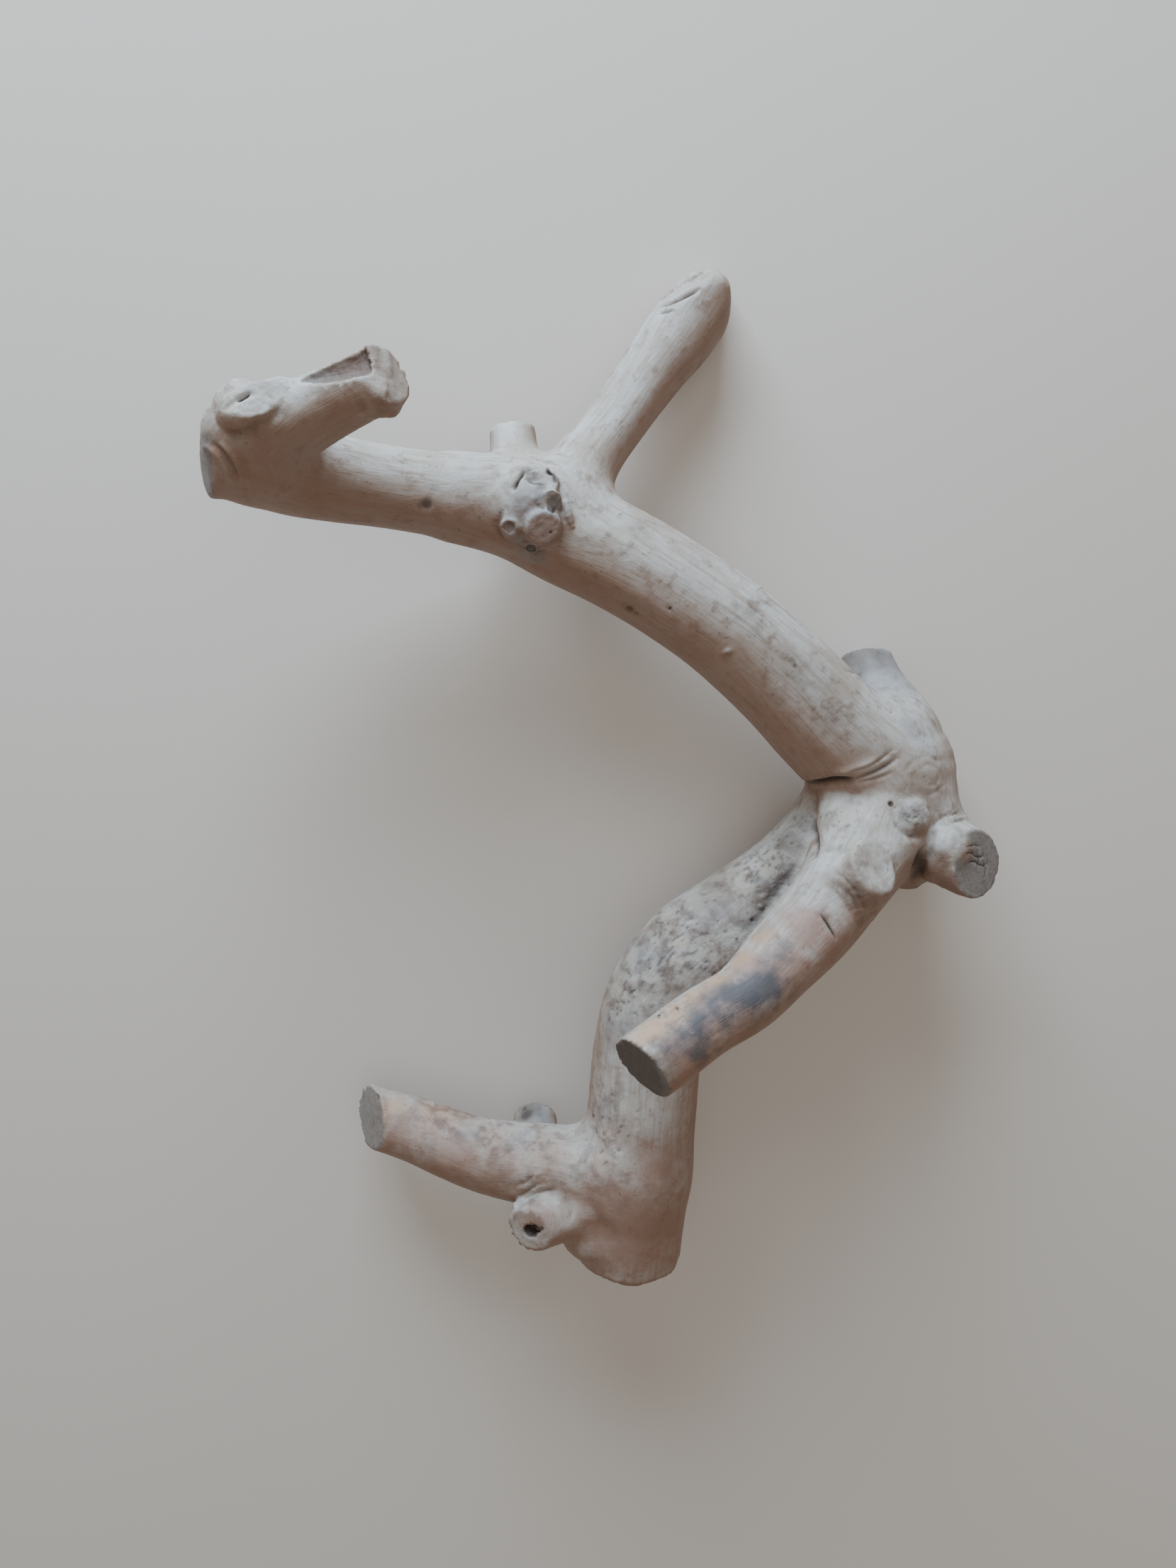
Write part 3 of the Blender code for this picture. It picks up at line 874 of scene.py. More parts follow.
def near_details(points, margin, thickest):
    """Which points lie close to a line, a mark, a knot or a hollow."""
    close = np.zeros(len(points), bool)
    for name, path in line_paths.items():
        reach = LINES[name][1] + margin
        near = nearby(path, points, reach)
        gap = nearest_place(path, points[near])[2]
        close[near[gap < reach]] = True
    for name, place in mark_places.items():
        reach = MARKS[name][2] + margin
        close |= np.linalg.norm(points - place, axis=1) < reach
    for limb in (*KNOTS.values(), *HOLLOWS.values()):
        if limb["line"]["radius"].max() > thickest:
            continue
        near = nearby(limb["line"]["point"], points, KNOT_REACH)
        gap = sawn_limb(limb, points[near])[0]
        close[near[np.abs(gap) < margin]] = True
    for limb in LIMBS.values():
        if limb["line"]["radius"].max() <= thickest:
            close |= near_rims(points, limb)
    return close


def split_faces(mesh, close):
    """Halve the edges whose two points are close, which splits the faces between them."""
    shape = bmesh.new()
    shape.from_mesh(mesh)
    edges = [edge for edge in shape.edges if all(close[vert.index] for vert in edge.verts)]
    bmesh.ops.subdivide_edges(shape, edges=edges, cuts=1, use_grid_fill=True)
    bmesh.ops.triangulate(shape, faces=[face for face in shape.faces if len(face.verts) > 4])
    shape.to_mesh(mesh)
    shape.free()
    set_points(mesh, settled(mesh_points(mesh), 2))


for margin, thickest in SPLITS:
    split_faces(skin, near_details(mesh_points(skin), margin, thickest))
    print("split within", margin, "mm:", len(skin.polygons), "faces")
skin.calc_loop_triangles()
print("triangles:", len(skin.loop_triangles))

# %% [markdown]
# ## Which way the grain runs
#
# Grain follows a limb. Each limb gets its own coordinates: two across it and one along it. Near a
# fork two limbs share the wood, so every face keeps the coordinates of the two nearest limbs and
# how much the second one counts. Around a knot the lines bend, so the coordinates are pulled
# towards its middle.

# %% Grain coordinates
SHARED_WIDTH = 9.0
LIMB_OFFSET = 300.0
BEND_SPREAD = 1.5
BEND_STRENGTH = 0.8
BEND_CORE = 0.5
KNOT_BENDS = {
    "cluster": (752, 715, 13.0),
    "nub": (1027, 920, 3.5),
    "knot_eye": (888, 859, 3.0),
    "dot_c": (601, 711, 2.5),
    "eye": (1310, 1095, 7.0),
    "callus": (1288, 1160, 7.0),
    "lens": (1236, 1218, 7.0),
    "big_oval": (360, 574, 7.0),
    "left_cut": (290, 660, 6.0),
    "hollow": (760, 1722, 10.0),
    "scar": (925, 1425, 6.0),
    "dot_b": (880, 785, 2.5),
}
bend_places = [(on_wood(column, row), size) for column, row, size in KNOT_BENDS.values()]


def bent_round_knots(points):
    """Pull places near a knot towards its middle, which bends the grain lines round it."""
    bent = points.copy()
    for place, size in bend_places:
        offset = points - place
        gap = np.linalg.norm(offset, axis=1)
        pull = size * np.exp(-(gap / (BEND_SPREAD * size)) ** 2)
        bent -= offset * (pull / np.maximum(gap, BEND_CORE))[:, None] * BEND_STRENGTH
    return bent


def limb_coordinates(points):
    """Each limb's distance from every point, and the points in that limb's coordinates."""
    distances = np.full((len(LIMBS), len(points)), FAR)
    coordinates = np.zeros((len(LIMBS), len(points), 3))
    bent = bent_round_knots(points)
    for number, limb in enumerate(LIMBS.values()):
        line = limb["line"]
        near = nearby(line["point"], points, REACH)
        segment, fraction, gap = nearest_place(line["point"], points[near])
        distances[number, near] = gap - between(line["radius"], segment, fraction)
        offset = bent[near] - between(line["point"], segment, fraction)
        tangent = between(line["tangent"], segment, fraction)
        for axis, across in enumerate(("side", "other_side")):
            direction = between(line[across], segment, fraction)
            coordinates[number, near, axis] = (offset * direction).sum(1)
        along = between(line["run"], segment, fraction) + (offset * tangent).sum(1)
        coordinates[number, near, 2] = along + LIMB_OFFSET * number
    return distances, coordinates


def second_share(first_distance, second_distance):
    """How much the second limb counts: a half where both are equally near."""
    return np.clip(0.5 + 0.5 * (first_distance - second_distance) / SHARED_WIDTH, 0, 1)


# %% [markdown]
# ## Relief
#
# Bare wood is never a clean tube. Broad flutes run along a limb, finer ridges follow the grain,
# the lines and marks above are pressed in, and the slanting trunk is pitted all over by beetles
# and rot.

# %% Noise along the grain
FLUTE_ACROSS = 0.11
FLUTE_ALONG = 0.018
FLUTE_HEIGHT = 0.8
RIDGE_ACROSS = 0.40
RIDGE_ALONG = 0.035
RIDGE_HEIGHT = 0.12


def noise_at(coordinates, across, along):
    """Smooth noise in limb coordinates, stretched along the limb."""
    scaled = coordinates * (across, across, along)
    return np.array([noise.noise(Vector(row)) for row in scaled])


def limb_noise(across, along, nearest, coordinates, share):
    """Noise of the two nearest limbs, mixed by how much each counts."""
    rows = np.arange(len(share))
    first = noise_at(coordinates[nearest[0], rows], across, along)
    second = noise_at(coordinates[nearest[1], rows], across, along)
    return first * (1 - share) + second * share


# %% Pressed lines and marks
# How far a line is felt, in its own widths, how fast its ends fade and how wide its dark band of
# dirt and painted shade is
LINE_REACH = 3.5
END_FADE = 3
DARK_BAND_WIDTH = 0.8


def pressed_lines(points):
    """Height of the lines and marks, and how dark they are drawn: soiling and painted shade."""
    height = np.zeros(len(points))
    dirt = np.zeros(len(points))
    for name, (_, width, depth, dark) in LINES.items():
        path = line_paths[name]
        near = nearby(path, points, LINE_REACH * width)
        segment, fraction, gap = nearest_place(path, points[near])
        run = (segment + fraction) / (len(path) - 1)
        ends = np.sin(np.clip(np.minimum(run, 1 - run) * END_FADE, 0, 1) * math.pi / 2)
        height[near] -= depth * np.exp(-(gap / width) ** 2) * ends
        darkened = dark * np.exp(-(gap / width / DARK_BAND_WIDTH) ** 2) * ends
        dirt[near] = np.maximum(dirt[near], darkened)
    for name, (_, _, radius, depth, dark) in MARKS.items():
        gap = np.linalg.norm(points - mark_places[name], axis=1)
        height -= depth * np.exp(-(gap / radius) ** 4)
        dirt = np.maximum(dirt, dark * np.exp(-(gap / radius) ** 4))
    return height, dirt


# %% Pits
PIT_SEED = 7
PIT_SCATTER = 0.5
PIT_RADIUS = 0.4
PIT_RADIUS_SPREAD = 0.7
PIT_SHALLOWEST = 0.4
PIT_DEPTH_SPREAD = 0.6
# How dark a pit is drawn: dirt and painted shade in its hollow
PIT_DIRT_AND_SHADE = 0.6
# Each field of pits: its middle in the picture, its reach, how many pits and how deep
PIT_FIELDS = {
    "slanting_trunk": ((970, 1325), 24.0, 80, 0.5),
    "below_the_fork": ((1100, 1215), 12.0, 32, 0.5),
    "knee": ((880, 1400), 14.0, 25, 0.5),
    "foot_back": ((850, 1590), 12.0, 16, 0.4),
    "bulge": ((1185, 1150), 9.0, 10, 0.2),
}


def pitted(points):
    """Height of the small pits, and how dark they are drawn: soiling and painted shade."""
    chance = np.random.default_rng(PIT_SEED)
    height = np.zeros(len(points))
    dirt = np.zeros(len(points))
    tree = KDTree(len(points))
    for index, point in enumerate(points):
        tree.insert(point, index)
    tree.balance()
    for (column, row), reach, count, depth in PIT_FIELDS.values():
        middle = on_wood(column, row)
        for _ in range(count):
            offset = chance.normal(size=3) * reach * PIT_SCATTER
            centre = tree.find(Vector(middle + offset))[0]
            radius = PIT_RADIUS + PIT_RADIUS_SPREAD * chance.random() ** 3
            deep = depth * (PIT_SHALLOWEST + PIT_DEPTH_SPREAD * chance.random())
            for _, index, gap in tree.find_range(centre, radius * 2):
                fall = math.exp(-(gap / radius) ** 2)
                height[index] -= deep * fall
                dirt[index] = max(dirt[index], PIT_DIRT_AND_SHADE * fall)
    return height, dirt


# %% Rough places, knots and hollows
# How near a knot or a hollow counts in full, and over how many millimetres it fades
KNOT_EDGE = 1.5
KNOT_FADE = 2
HOLLOW_EDGE = 1.6
HOLLOW_FADE = 0.5
# Where the wood is crusted: column, row, reach and strength
ROUGH_PLACES = [
    (960, 1330, 22, 1.0), (1060, 1230, 16, 1.0), (880, 1400, 14, 1.0), (1185, 1150, 9, 0.6),
    (1288, 1152, 6, 0.8), (850, 1560, 16, 0.7), (700, 1590, 14, 0.9), (620, 1570, 14, 0.8),
    (760, 1620, 16, 0.7), (830, 1650, 16, 0.5), (560, 1560, 10, 0.5),
]


def soft_patch(points, spots):
    """A soft-edged patch from spots of (column, row, reach, strength)."""
    amount = np.zeros(len(points))
    for column, row, reach, strength in spots:
        gap = np.linalg.norm(points - on_wood(column, row), axis=1)
        amount = np.maximum(amount, strength * np.exp(-(gap / reach) ** 2))
    return amount


def near_knots(points):
    """1 on the knots and in the hollows, fading to 0 three millimetres away."""
    share = np.zeros(len(points))
    for limb in (*KNOTS.values(), *HOLLOWS.values()):
        near = nearby(limb["line"]["point"], points, KNOT_REACH)
        gap = np.abs(sawn_limb(limb, points[near])[0])
        share[near] = np.maximum(share[near], np.clip(KNOT_EDGE - gap / KNOT_FADE, 0, 1))
    return share


def hollow_dirt(points):
    """How dark the rotted hollows are inside: soiling and painted shade."""
    dirt = np.zeros(len(points))
    for hollow in HOLLOWS.values():
        near = nearby(hollow["line"]["point"], points, KNOT_REACH)
        gap = np.abs(sawn_limb(hollow, points[near])[0])
        inside = np.clip(HOLLOW_EDGE - gap / HOLLOW_FADE, 0, 1)
        dirt[near] = np.maximum(dirt[near], hollow["dark"] * inside)
    return dirt


# %% Measure the skin
points = mesh_points(skin)
normals = mesh_normals(skin)
distances, coordinates = limb_coordinates(points)
nearest = np.argsort(distances, axis=0)[:2]
point_rows = np.arange(len(points))
share = second_share(distances[nearest[0], point_rows], distances[nearest[1], point_rows])
flutes = limb_noise(FLUTE_ACROSS, FLUTE_ALONG, nearest, coordinates, share) * FLUTE_HEIGHT
ridges = limb_noise(RIDGE_ACROSS, RIDGE_ALONG, nearest, coordinates, share) * RIDGE_HEIGHT
line_height, line_dirt = pressed_lines(points)
pit_height, pit_dirt = pitted(points)
print("deepest line", round(line_height.min(), 2), "and pit", round(pit_height.min(), 2), "mm")

# %% Sawn faces
# How far round a cut is looked at, which way a point must face and how near the plane it lies
SAWN_REACH = 1.2
SAWN_MARGIN = 2
FACING_LEAST = 0.6
FACING_FADE = 0.3
FLAT_DEPTH = 1.4


def sawn_share(points):
    """1 on sawn faces and 0 on the sides, and how grey those faces are."""
    sawn = np.zeros(len(points))
    greyness = np.zeros(len(points))
    for limb in (*LIMBS.values(), *KNOTS.values()):
        for place, outward, grey in limb["saws"]:
            normal = np.array(outward) / np.linalg.norm(outward)
            reach = SAWN_REACH * limb["line"]["radius"][-1] + SAWN_MARGIN
            near = nearby(np.array([place, place], float), points, reach)
            above = (points[near] - np.array(place)) @ normal
            facing = np.clip((normals[near] @ normal - FACING_LEAST) / FACING_FADE, 0, 1)
            flat = np.clip(FLAT_DEPTH - np.abs(above + WORN_AWAY), 0, 1)
            sawn[near] = np.maximum(sawn[near], facing * flat)
            greyness[near] = np.maximum(greyness[near], facing * flat * grey)
    return sawn, greyness


sawn, greyness = sawn_share(points)
print("points on sawn faces:", int((sawn > 0).sum()))

# %% Press the relief into the skin
CRUST_HEIGHT = 0.65
CRUST_SCALE = 0.5
FINE_CRUST_SCALE = 1.2
FINE_CRUST_SHARE = 0.6
KNOT_CRUST = 0.3

smooth_part = 1 - np.maximum(sawn, near_knots(points))
crust = np.array([
    noise.noise(Vector(point) * CRUST_SCALE)
    + FINE_CRUST_SHARE * noise.noise(Vector(point) * FINE_CRUST_SCALE) for point in points
]) * CRUST_HEIGHT
rough_part = np.maximum(soft_patch(points, ROUGH_PLACES), KNOT_CRUST * near_knots(points))
relief = (flutes + ridges) * smooth_part + crust * rough_part + line_height + pit_height
set_points(skin, points + normals * relief[:, None])
print("relief from", round(relief.min(), 2), "to", round(relief.max(), 2), "mm")

# %% [markdown]
# ## Where the wood changes colour
#
# Sun and rain bleach what faces up and grey the oldest stubs. The side turned from the light is
# drawn browner: partly the brown that stays where wood lay in shelter, partly painted shade. A
# fungus left a blue stain on the forward limb, the swollen fork is chalky, and grime is partly
# dirt, partly painted shade between limbs and under stubs. Each of these is a soft patch on the
# wood, stored at the points of the skin. The material gives the patches their ragged edges and
# their colours.

# %% Patches of weathering and painted shade
# Spots of each patch: column, row, reach in millimetres and strength
PATCHES = {
    "blue_stain": [
        (1080, 1392, 8, 1.0), (1058, 1398, 8, 1.0), (1034, 1402, 8, 0.9), (1008, 1420, 8, 0.75),
        (985, 1440, 9, 0.7), (962, 1465, 8, 0.65), (1030, 1440, 7, 0.6), (1096, 1350, 6, 0.6),
        (1108, 1332, 5, 0.5), (985, 1478, 7, 0.6), (930, 1480, 6, 0.5),
    ],
    "chalk": [
        (1205, 1150, 12, 0.5), (1235, 1120, 9, 0.45), (1170, 1215, 8, 0.6), (1220, 1085, 7, 0.7),
        (1255, 1190, 7, 0.4), (940, 1335, 10, 0.4), (985, 1350, 9, 0.4), (870, 1630, 9, 0.5),
        (1060, 1200, 9, 0.4), (715, 600, 9, 0.7), (350, 570, 9, 0.6), (420, 545, 7, 0.7),
    ],
    "grey": [
        (750, 720, 12, 1.0), (762, 672, 8, 0.5), (1225, 938, 22, 1.1), (1380, 1222, 12, 1.0),
        (520, 1573, 9, 0.8), (290, 662, 6, 1.0), (755, 1573, 8, 1.0), (1030, 440, 9, 0.5),
        (785, 709, 3, 1.0), (1000, 1290, 12, 0.7), (920, 1350, 12, 0.6), (890, 1330, 9, 0.6),
        (1095, 1240, 9, 0.7), (1290, 1150, 9, 0.6), (1320, 1200, 8, 0.4), (870, 1450, 12, 0.6),
        (660, 1600, 6, 0.6), (735, 1600, 7, 0.6), (850, 1560, 10, 0.5), (960, 520, 10, 0.5),
        (1150, 960, 12, 0.4), (1290, 1030, 12, 0.5),
    ],
    "rosy": [
        (495, 508, 8, 1.0), (1240, 1285, 9, 0.8), (1255, 1330, 9, 0.7), (1025, 1400, 10, 1.0),
        (1060, 1370, 9, 1.0), (1000, 1440, 10, 1.0), (960, 1480, 10, 1.0),
        (890, 1740, 22, 1.0), (860, 1700, 18, 0.9), (930, 1650, 15, 0.8), (640, 1630, 15, 0.9),
        (570, 1600, 12, 0.8), (700, 1650, 14, 0.8), (780, 1650, 12, 0.6), (760, 1720, 9, 0.7),
        (1140, 1310, 11, 0.9), (1175, 1335, 9, 0.9), (1210, 1290, 8, 0.7), (500, 570, 10, 0.4),
        (1110, 1370, 13, 0.9), (1050, 1440, 13, 0.9), (980, 1490, 12, 0.9), (620, 1575, 18, 0.8),
        (540, 1565, 12, 0.7), (1080, 1320, 8, 0.6), (700, 1600, 12, 0.6),
        (770, 1640, 14, 0.7), (860, 1600, 12, 0.5),
    ],
    "amber": [
        (905, 1462, 5, 1.0), (925, 1448, 6, 1.0), (950, 1430, 6, 1.0), (980, 1408, 5.5, 0.9),
        (1012, 1382, 5.5, 0.9), (1045, 1352, 5.5, 0.8), (1075, 1322, 5, 0.7), (620, 1565, 8, 0.6),
        (560, 1560, 7, 0.6), (850, 1640, 6, 0.5),
    ],
    # Grime is partly dirt, partly painted shade between limbs, under stubs and on undersides
    "grime_and_shade": [
        (1110, 1190, 9, 0.8), (1096, 1225, 8, 0.9), (1072, 1255, 8, 0.9), (1046, 1290, 8, 0.7),
        (1130, 1160, 7, 0.6), (1290, 1154, 5, 0.7), (284, 662, 6, 1.0), (784, 710, 3, 1.0),
        (744, 1566, 6, 1.0), (1128, 1105, 6, 0.8), (1300, 1262, 7, 0.7), (862, 1380, 7, 0.5),
        (1238, 1224, 4, 0.5), (1195, 1135, 5, 0.35), (1010, 1250, 8, 0.5), (930, 1290, 7, 0.4),
        (850, 1480, 9, 0.4), (760, 1690, 6, 0.4),
        (940, 1330, 22, 0.5), (1010, 1280, 18, 0.55), (880, 1390, 16, 0.5), (890, 1450, 14, 0.45),
        (1215, 925, 16, 0.75), (1150, 1260, 12, 0.4), (1205, 1235, 10, 0.45),
        (905, 745, 13, 0.36), (985, 800, 13, 0.38), (1060, 870, 13, 0.42),
        (1120, 945, 13, 0.42), (1170, 1020, 11, 0.38), (1000, 520, 12, 0.4), (965, 570, 10, 0.36),
        (1060, 1440, 10, 0.5), (1000, 1480, 9, 0.5), (940, 1505, 8, 0.6), (1120, 1400, 9, 0.4),
        (1225, 1290, 8, 0.45), (1175, 1240, 10, 0.5), (1205, 1262, 9, 0.55), (1290, 1160, 6, 0.5),
        (750, 668, 3, 0.9), (786, 676, 3, 1.0), (764, 684, 3, 0.8), (742, 662, 2.5, 1.0),
        (430, 640, 12, 0.3),
        (700, 1640, 8, 0.4), (640, 1608, 8, 0.3), (955, 1250, 7, 0.4),
    ],
    # The forward limb's sawn end drawn dark brown: partly its end grain, partly painted shade
    "end_face_brown_and_shade": [(890, 1500, 16, 1.6)],
}
patches = {name: soft_patch(points, spots) for name, spots in PATCHES.items()}
patches["end_face_brown_and_shade"] *= sawn
# The way the sun and the light come, in leaning axes, and how the brown grows on the side away
# from them: partly the wood's own weathered brown, partly painted shade
SUN_AND_LIGHT_SIDE = np.array([-0.15, 0.92, 0.36])
AWAY_SIDE_LEVEL = 0.86
AWAY_SIDE_FALL = 0.88
patches["away_side_brown_and_shade"] = np.clip(AWAY_SIDE_LEVEL - AWAY_SIDE_FALL * (normals @ SUN_AND_LIGHT_SIDE), 0, 1)
patches["rough"] = rough_part
patches["sawn"] = greyness
# Dark lines, marks, pits and hollows: dirt, and painted shade in creases, cracks, gaps and recesses
patches["dirt"] = np.maximum.reduce([line_dirt, pit_dirt, hollow_dirt(points)])

for name, amount in patches.items():
    layer = skin.attributes.new(name, "FLOAT", "POINT")
    layer.data.foreach_set("value", amount.astype(np.float32))
print("patches:", sorted(patches))

# %% Store the grain coordinates at the face corners
corner_point = np.empty(len(skin.loops), int)
skin.loops.foreach_get("vertex_index", corner_point)
corners_of_face = np.empty(len(skin.polygons), int)
skin.polygons.foreach_get("loop_total", corners_of_face)
corner_face = np.repeat(np.arange(len(skin.polygons)), corners_of_face)
face_distances = np.zeros((len(LIMBS), len(skin.polygons)))
for number in range(len(LIMBS)):
    sums = np.bincount(corner_face, weights=distances[number, corner_point])
    face_distances[number] = sums / corners_of_face
face_nearest = np.argsort(face_distances, axis=0)[:2]
corner_limbs = face_nearest[:, corner_face]
corner_share = second_share(
    distances[corner_limbs[0], corner_point], distances[corner_limbs[1], corner_point])
for name, limbs in (("grain_first", corner_limbs[0]), ("grain_second", corner_limbs[1])):
    layer = skin.attributes.new(name, "FLOAT_VECTOR", "CORNER")
    layer.data.foreach_set("vector", coordinates[limbs, corner_point].astype(np.float32).ravel())
layer = skin.attributes.new("grain_share", "FLOAT", "CORNER")
layer.data.foreach_set("value", corner_share.astype(np.float32))
print("grain stored at", len(skin.loops), "face corners")

# %% [markdown]
# ## Weathered bare wood
#
# Debarked wood that has lain outside is silky and matt: the light scatters from raised fibres.
# It is pale where the sun reached it, with fine darker lines along the grain, small brown flecks,
# and a greyer or browner cast in patches. Wood has an IOR near 1.5 and no coat. Its fibres are
# drawn about half a millimetre wide and its streaks about two, which is coarser than real
# fibres, because finer ones would vanish in the picture.

# %% Colours and one node helper
def linear(hex_colour):
    """Turn an sRGB hex colour into linear values with full alpha."""
    values = [int(hex_colour[i:i + 2], 16) / 255 for i in (0, 2, 4)]
    return (*[v / 12.92 if v <= 0.04045 else ((v + 0.055) / 1.055) ** 2.4 for v in values], 1.0)


def add(tree, kind, links=None, **settings):
    """Add a node with its settings, and give its inputs a value or a link."""
    node = tree.nodes.new(kind)
    for name, value in settings.items():
        setattr(node, name, value)
    for socket, source in (links or {}).items():
        if isinstance(source, bpy.types.NodeSocket):
            tree.links.new(source, node.inputs[socket])
        else:
            node.inputs[socket].default_value = source
    return node


# %% Colours and sizes of the wood's pattern
SUN_BLEACHED = linear("c6c4c1")
HEART = linear("a39485")
LINE_BROWN = linear("7c6859")
# Brown of the side turned from the light: weathered wood and painted shade
AWAY_SIDE_BROWN_AND_SHADE = linear("96715b")
STONE_GREY = linear("8f9096")
CHALK_WHITE = linear("d9d8d6")
ROSY_TAN = linear("a4867a")
# Grey-brown of grime and of painted shade
GRIME_AND_SHADE = linear("6a6159")
AMBER = linear("c9a788")
STAIN_BLUE = linear("4b525c")
# Brown of dirt and of painted shade in creases, cracks, pits and hollows
DIRT_AND_SHADE_BROWN = linear("35281f")
CRUST_CREAM = linear("cabfad")
FLECK_BROWN = linear("6a5648")
END_GRAIN_PALE = linear("8c8682")
END_GRAIN_DARK = linear("665f5c")
# Dark brown of the forward limb's end face: end grain and painted shade
END_FACE_BROWN_AND_SHADE = linear("4b3b33")
WOOD_IOR = 1.5
STREAK = (0.55, 0.55, 0.05)
FIBRE = (2.2, 2.2, 0.12)
RING_SPACING = 1.6
BUMP_STRENGTH = 0.55
BUMP_METRES = 0.0006
SMOOTHEST = 0.52
ROUGHEST = 0.74
# Each patch of weathering and painted shade, from the bottom up: how ragged its edge is, how
# strong it is, its colour
WEATHERING_AND_SHADE = (
    ("rosy", 0.6, 0.85, ROSY_TAN),
    ("amber", 0.8, 0.8, AMBER),
    ("grey", 0.5, 0.75, STONE_GREY),
    ("chalk", 0.6, 0.75, CHALK_WHITE),
    # The side turned from the light: weathered brown and painted shade
    ("away_side_brown_and_shade", 0.4, 0.8, AWAY_SIDE_BROWN_AND_SHADE),
    # Grime: partly dirt, partly painted shade
    ("grime_and_shade", 0.7, 0.75, GRIME_AND_SHADE),
    ("blue_stain", 0.9, 0.85, STAIN_BLUE),
)


# %% The wood's material
def wood_material():
    """Weathered bare wood, with every patch read from the skin."""
    material = bpy.data.materials.new("weathered_bare_wood")
    material.use_nodes = True
    tree = material.node_tree
    shader = tree.nodes["Principled BSDF"]
    read = {}
    for name in (*patches, "grain_share"):
        read[name] = add(tree, "ShaderNodeAttribute", attribute_name=name).outputs["Fac"]
    grain = [add(tree, "ShaderNodeAttribute", attribute_name=name).outputs["Vector"]
             for name in ("grain_first", "grain_second")]
    place = add(tree, "ShaderNodeTexCoord").outputs["Object"]

    def math_node(operation, first, second, clamp=False):
        links = {0: first, 1: second}
        return add(tree, "ShaderNodeMath", links, operation=operation, use_clamp=clamp).outputs[0]

    def blended(factor, under, over, blend_type="MIX"):
        links = {0: factor, 6: under, 7: over}
        node = add(tree, "ShaderNodeMix", links, data_type="RGBA", blend_type=blend_type)
        return node.outputs[2]

    def grain_noise(scale, detail):
        values = []
        for coordinate in grain:
            links = {0: coordinate, 1: scale}
            stretched = add(tree, "ShaderNodeVectorMath", links, operation="MULTIPLY").outputs[0]
            links = {"Vector": stretched, "Scale": 1.0, "Detail": detail, "Roughness": 0.55}
            values.append(add(tree, "ShaderNodeTexNoise", links).outputs["Fac"])
        links = {0: read["grain_share"], 2: values[0], 3: values[1]}
        return add(tree, "ShaderNodeMix", links, data_type="FLOAT").outputs[0]

    def place_noise(size_mm, detail):
        links = {"Vector": place, "Scale": 1000 / size_mm, "Detail": detail, "Roughness": 0.6}
        return add(tree, "ShaderNodeTexNoise", links).outputs["Fac"]

    def stepped(value, low, high):
        links = {"Value": value, "From Min": low, "From Max": high}
        return add(tree, "ShaderNodeMapRange", links, interpolation_type="SMOOTHSTEP").outputs[0]

    streak = grain_noise(STREAK, 3.0)
    fibre = grain_noise(FIBRE, 2.0)
    cloud = place_noise(22, 3.0)
    mottle = place_noise(5, 3.0)
    fleck = place_noise(1.7, 1.0)
    crust = place_noise(5.5, 6.0)

    def ragged(name, spread):
        shifted = math_node("MULTIPLY_ADD", mottle, spread)
        shifted.node.inputs[2].default_value = -spread / 2
        return stepped(math_node("ADD", read[name], shifted), 0.15, 0.85)

    clean = math_node("MULTIPLY_ADD", read["rough"], -0.6)
    clean.node.inputs[2].default_value = 1.0
    streaks = math_node("MULTIPLY", stepped(streak, 0.40, 0.70), 0.65)
    colour = blended(math_node("MULTIPLY", streaks, clean), SUN_BLEACHED, HEART)
    fibres = math_node("MULTIPLY", stepped(fibre, 0.52, 0.72), 0.3)
    colour = blended(math_node("MULTIPLY", fibres, clean), colour, LINE_BROWN)
    colour = blended(math_node("MULTIPLY", stepped(cloud, 0.44, 0.66), 0.6), colour, HEART)
    colour = blended(math_node("MULTIPLY", stepped(mottle, 0.54, 0.70), 0.5), colour, LINE_BROWN)
    for name, raggedness, strength, over in WEATHERING_AND_SHADE:
        colour = blended(math_node("MULTIPLY", ragged(name, raggedness), strength), colour, over)
    flecked = math_node("MULTIPLY", stepped(fleck, 0.66, 0.76), 0.4)
    cream_share = math_node("MULTIPLY", read["rough"], 0.55)
    creamy = math_node("MULTIPLY", stepped(crust, 0.50, 0.40), cream_share)
    colour = blended(creamy, colour, CRUST_CREAM)
    brown_share = math_node("MULTIPLY", read["rough"], 0.7)
    crusted = math_node("MULTIPLY", stepped(crust, 0.50, 0.62), brown_share)
    colour = blended(math_node("MAXIMUM", flecked, crusted), colour, FLECK_BROWN)

    links = {0: grain[0], 1: (1, 1, 0)}
    across = add(tree, "ShaderNodeVectorMath", links, operation="MULTIPLY").outputs[0]
    radius = add(tree, "ShaderNodeVectorMath", {0: across}, operation="LENGTH").outputs["Value"]
    wavy = math_node("ADD", radius, math_node("MULTIPLY", mottle, 7.0))
    ring = math_node("SINE", math_node("MULTIPLY", wavy, 2 * math.pi / RING_SPACING), 0.0)
    ring = math_node("MULTIPLY", stepped(ring, -0.6, 1.0), stepped(mottle, 0.35, 0.6))
    end_grain = blended(math_node("MULTIPLY", ring, 0.45), END_GRAIN_PALE, END_GRAIN_DARK)
    end_grain = blended(math_node("MULTIPLY", stepped(fleck, 0.5, 0.7), 0.5), end_grain, END_GRAIN_DARK)
    colour = blended(math_node("MULTIPLY", read["sawn"], 0.9), colour, end_grain)
    # The forward limb's end face: dark end grain and painted shade
    colour = blended(math_node("MULTIPLY", ragged("end_face_brown_and_shade", 0.5), 0.75), colour, END_FACE_BROWN_AND_SHADE)
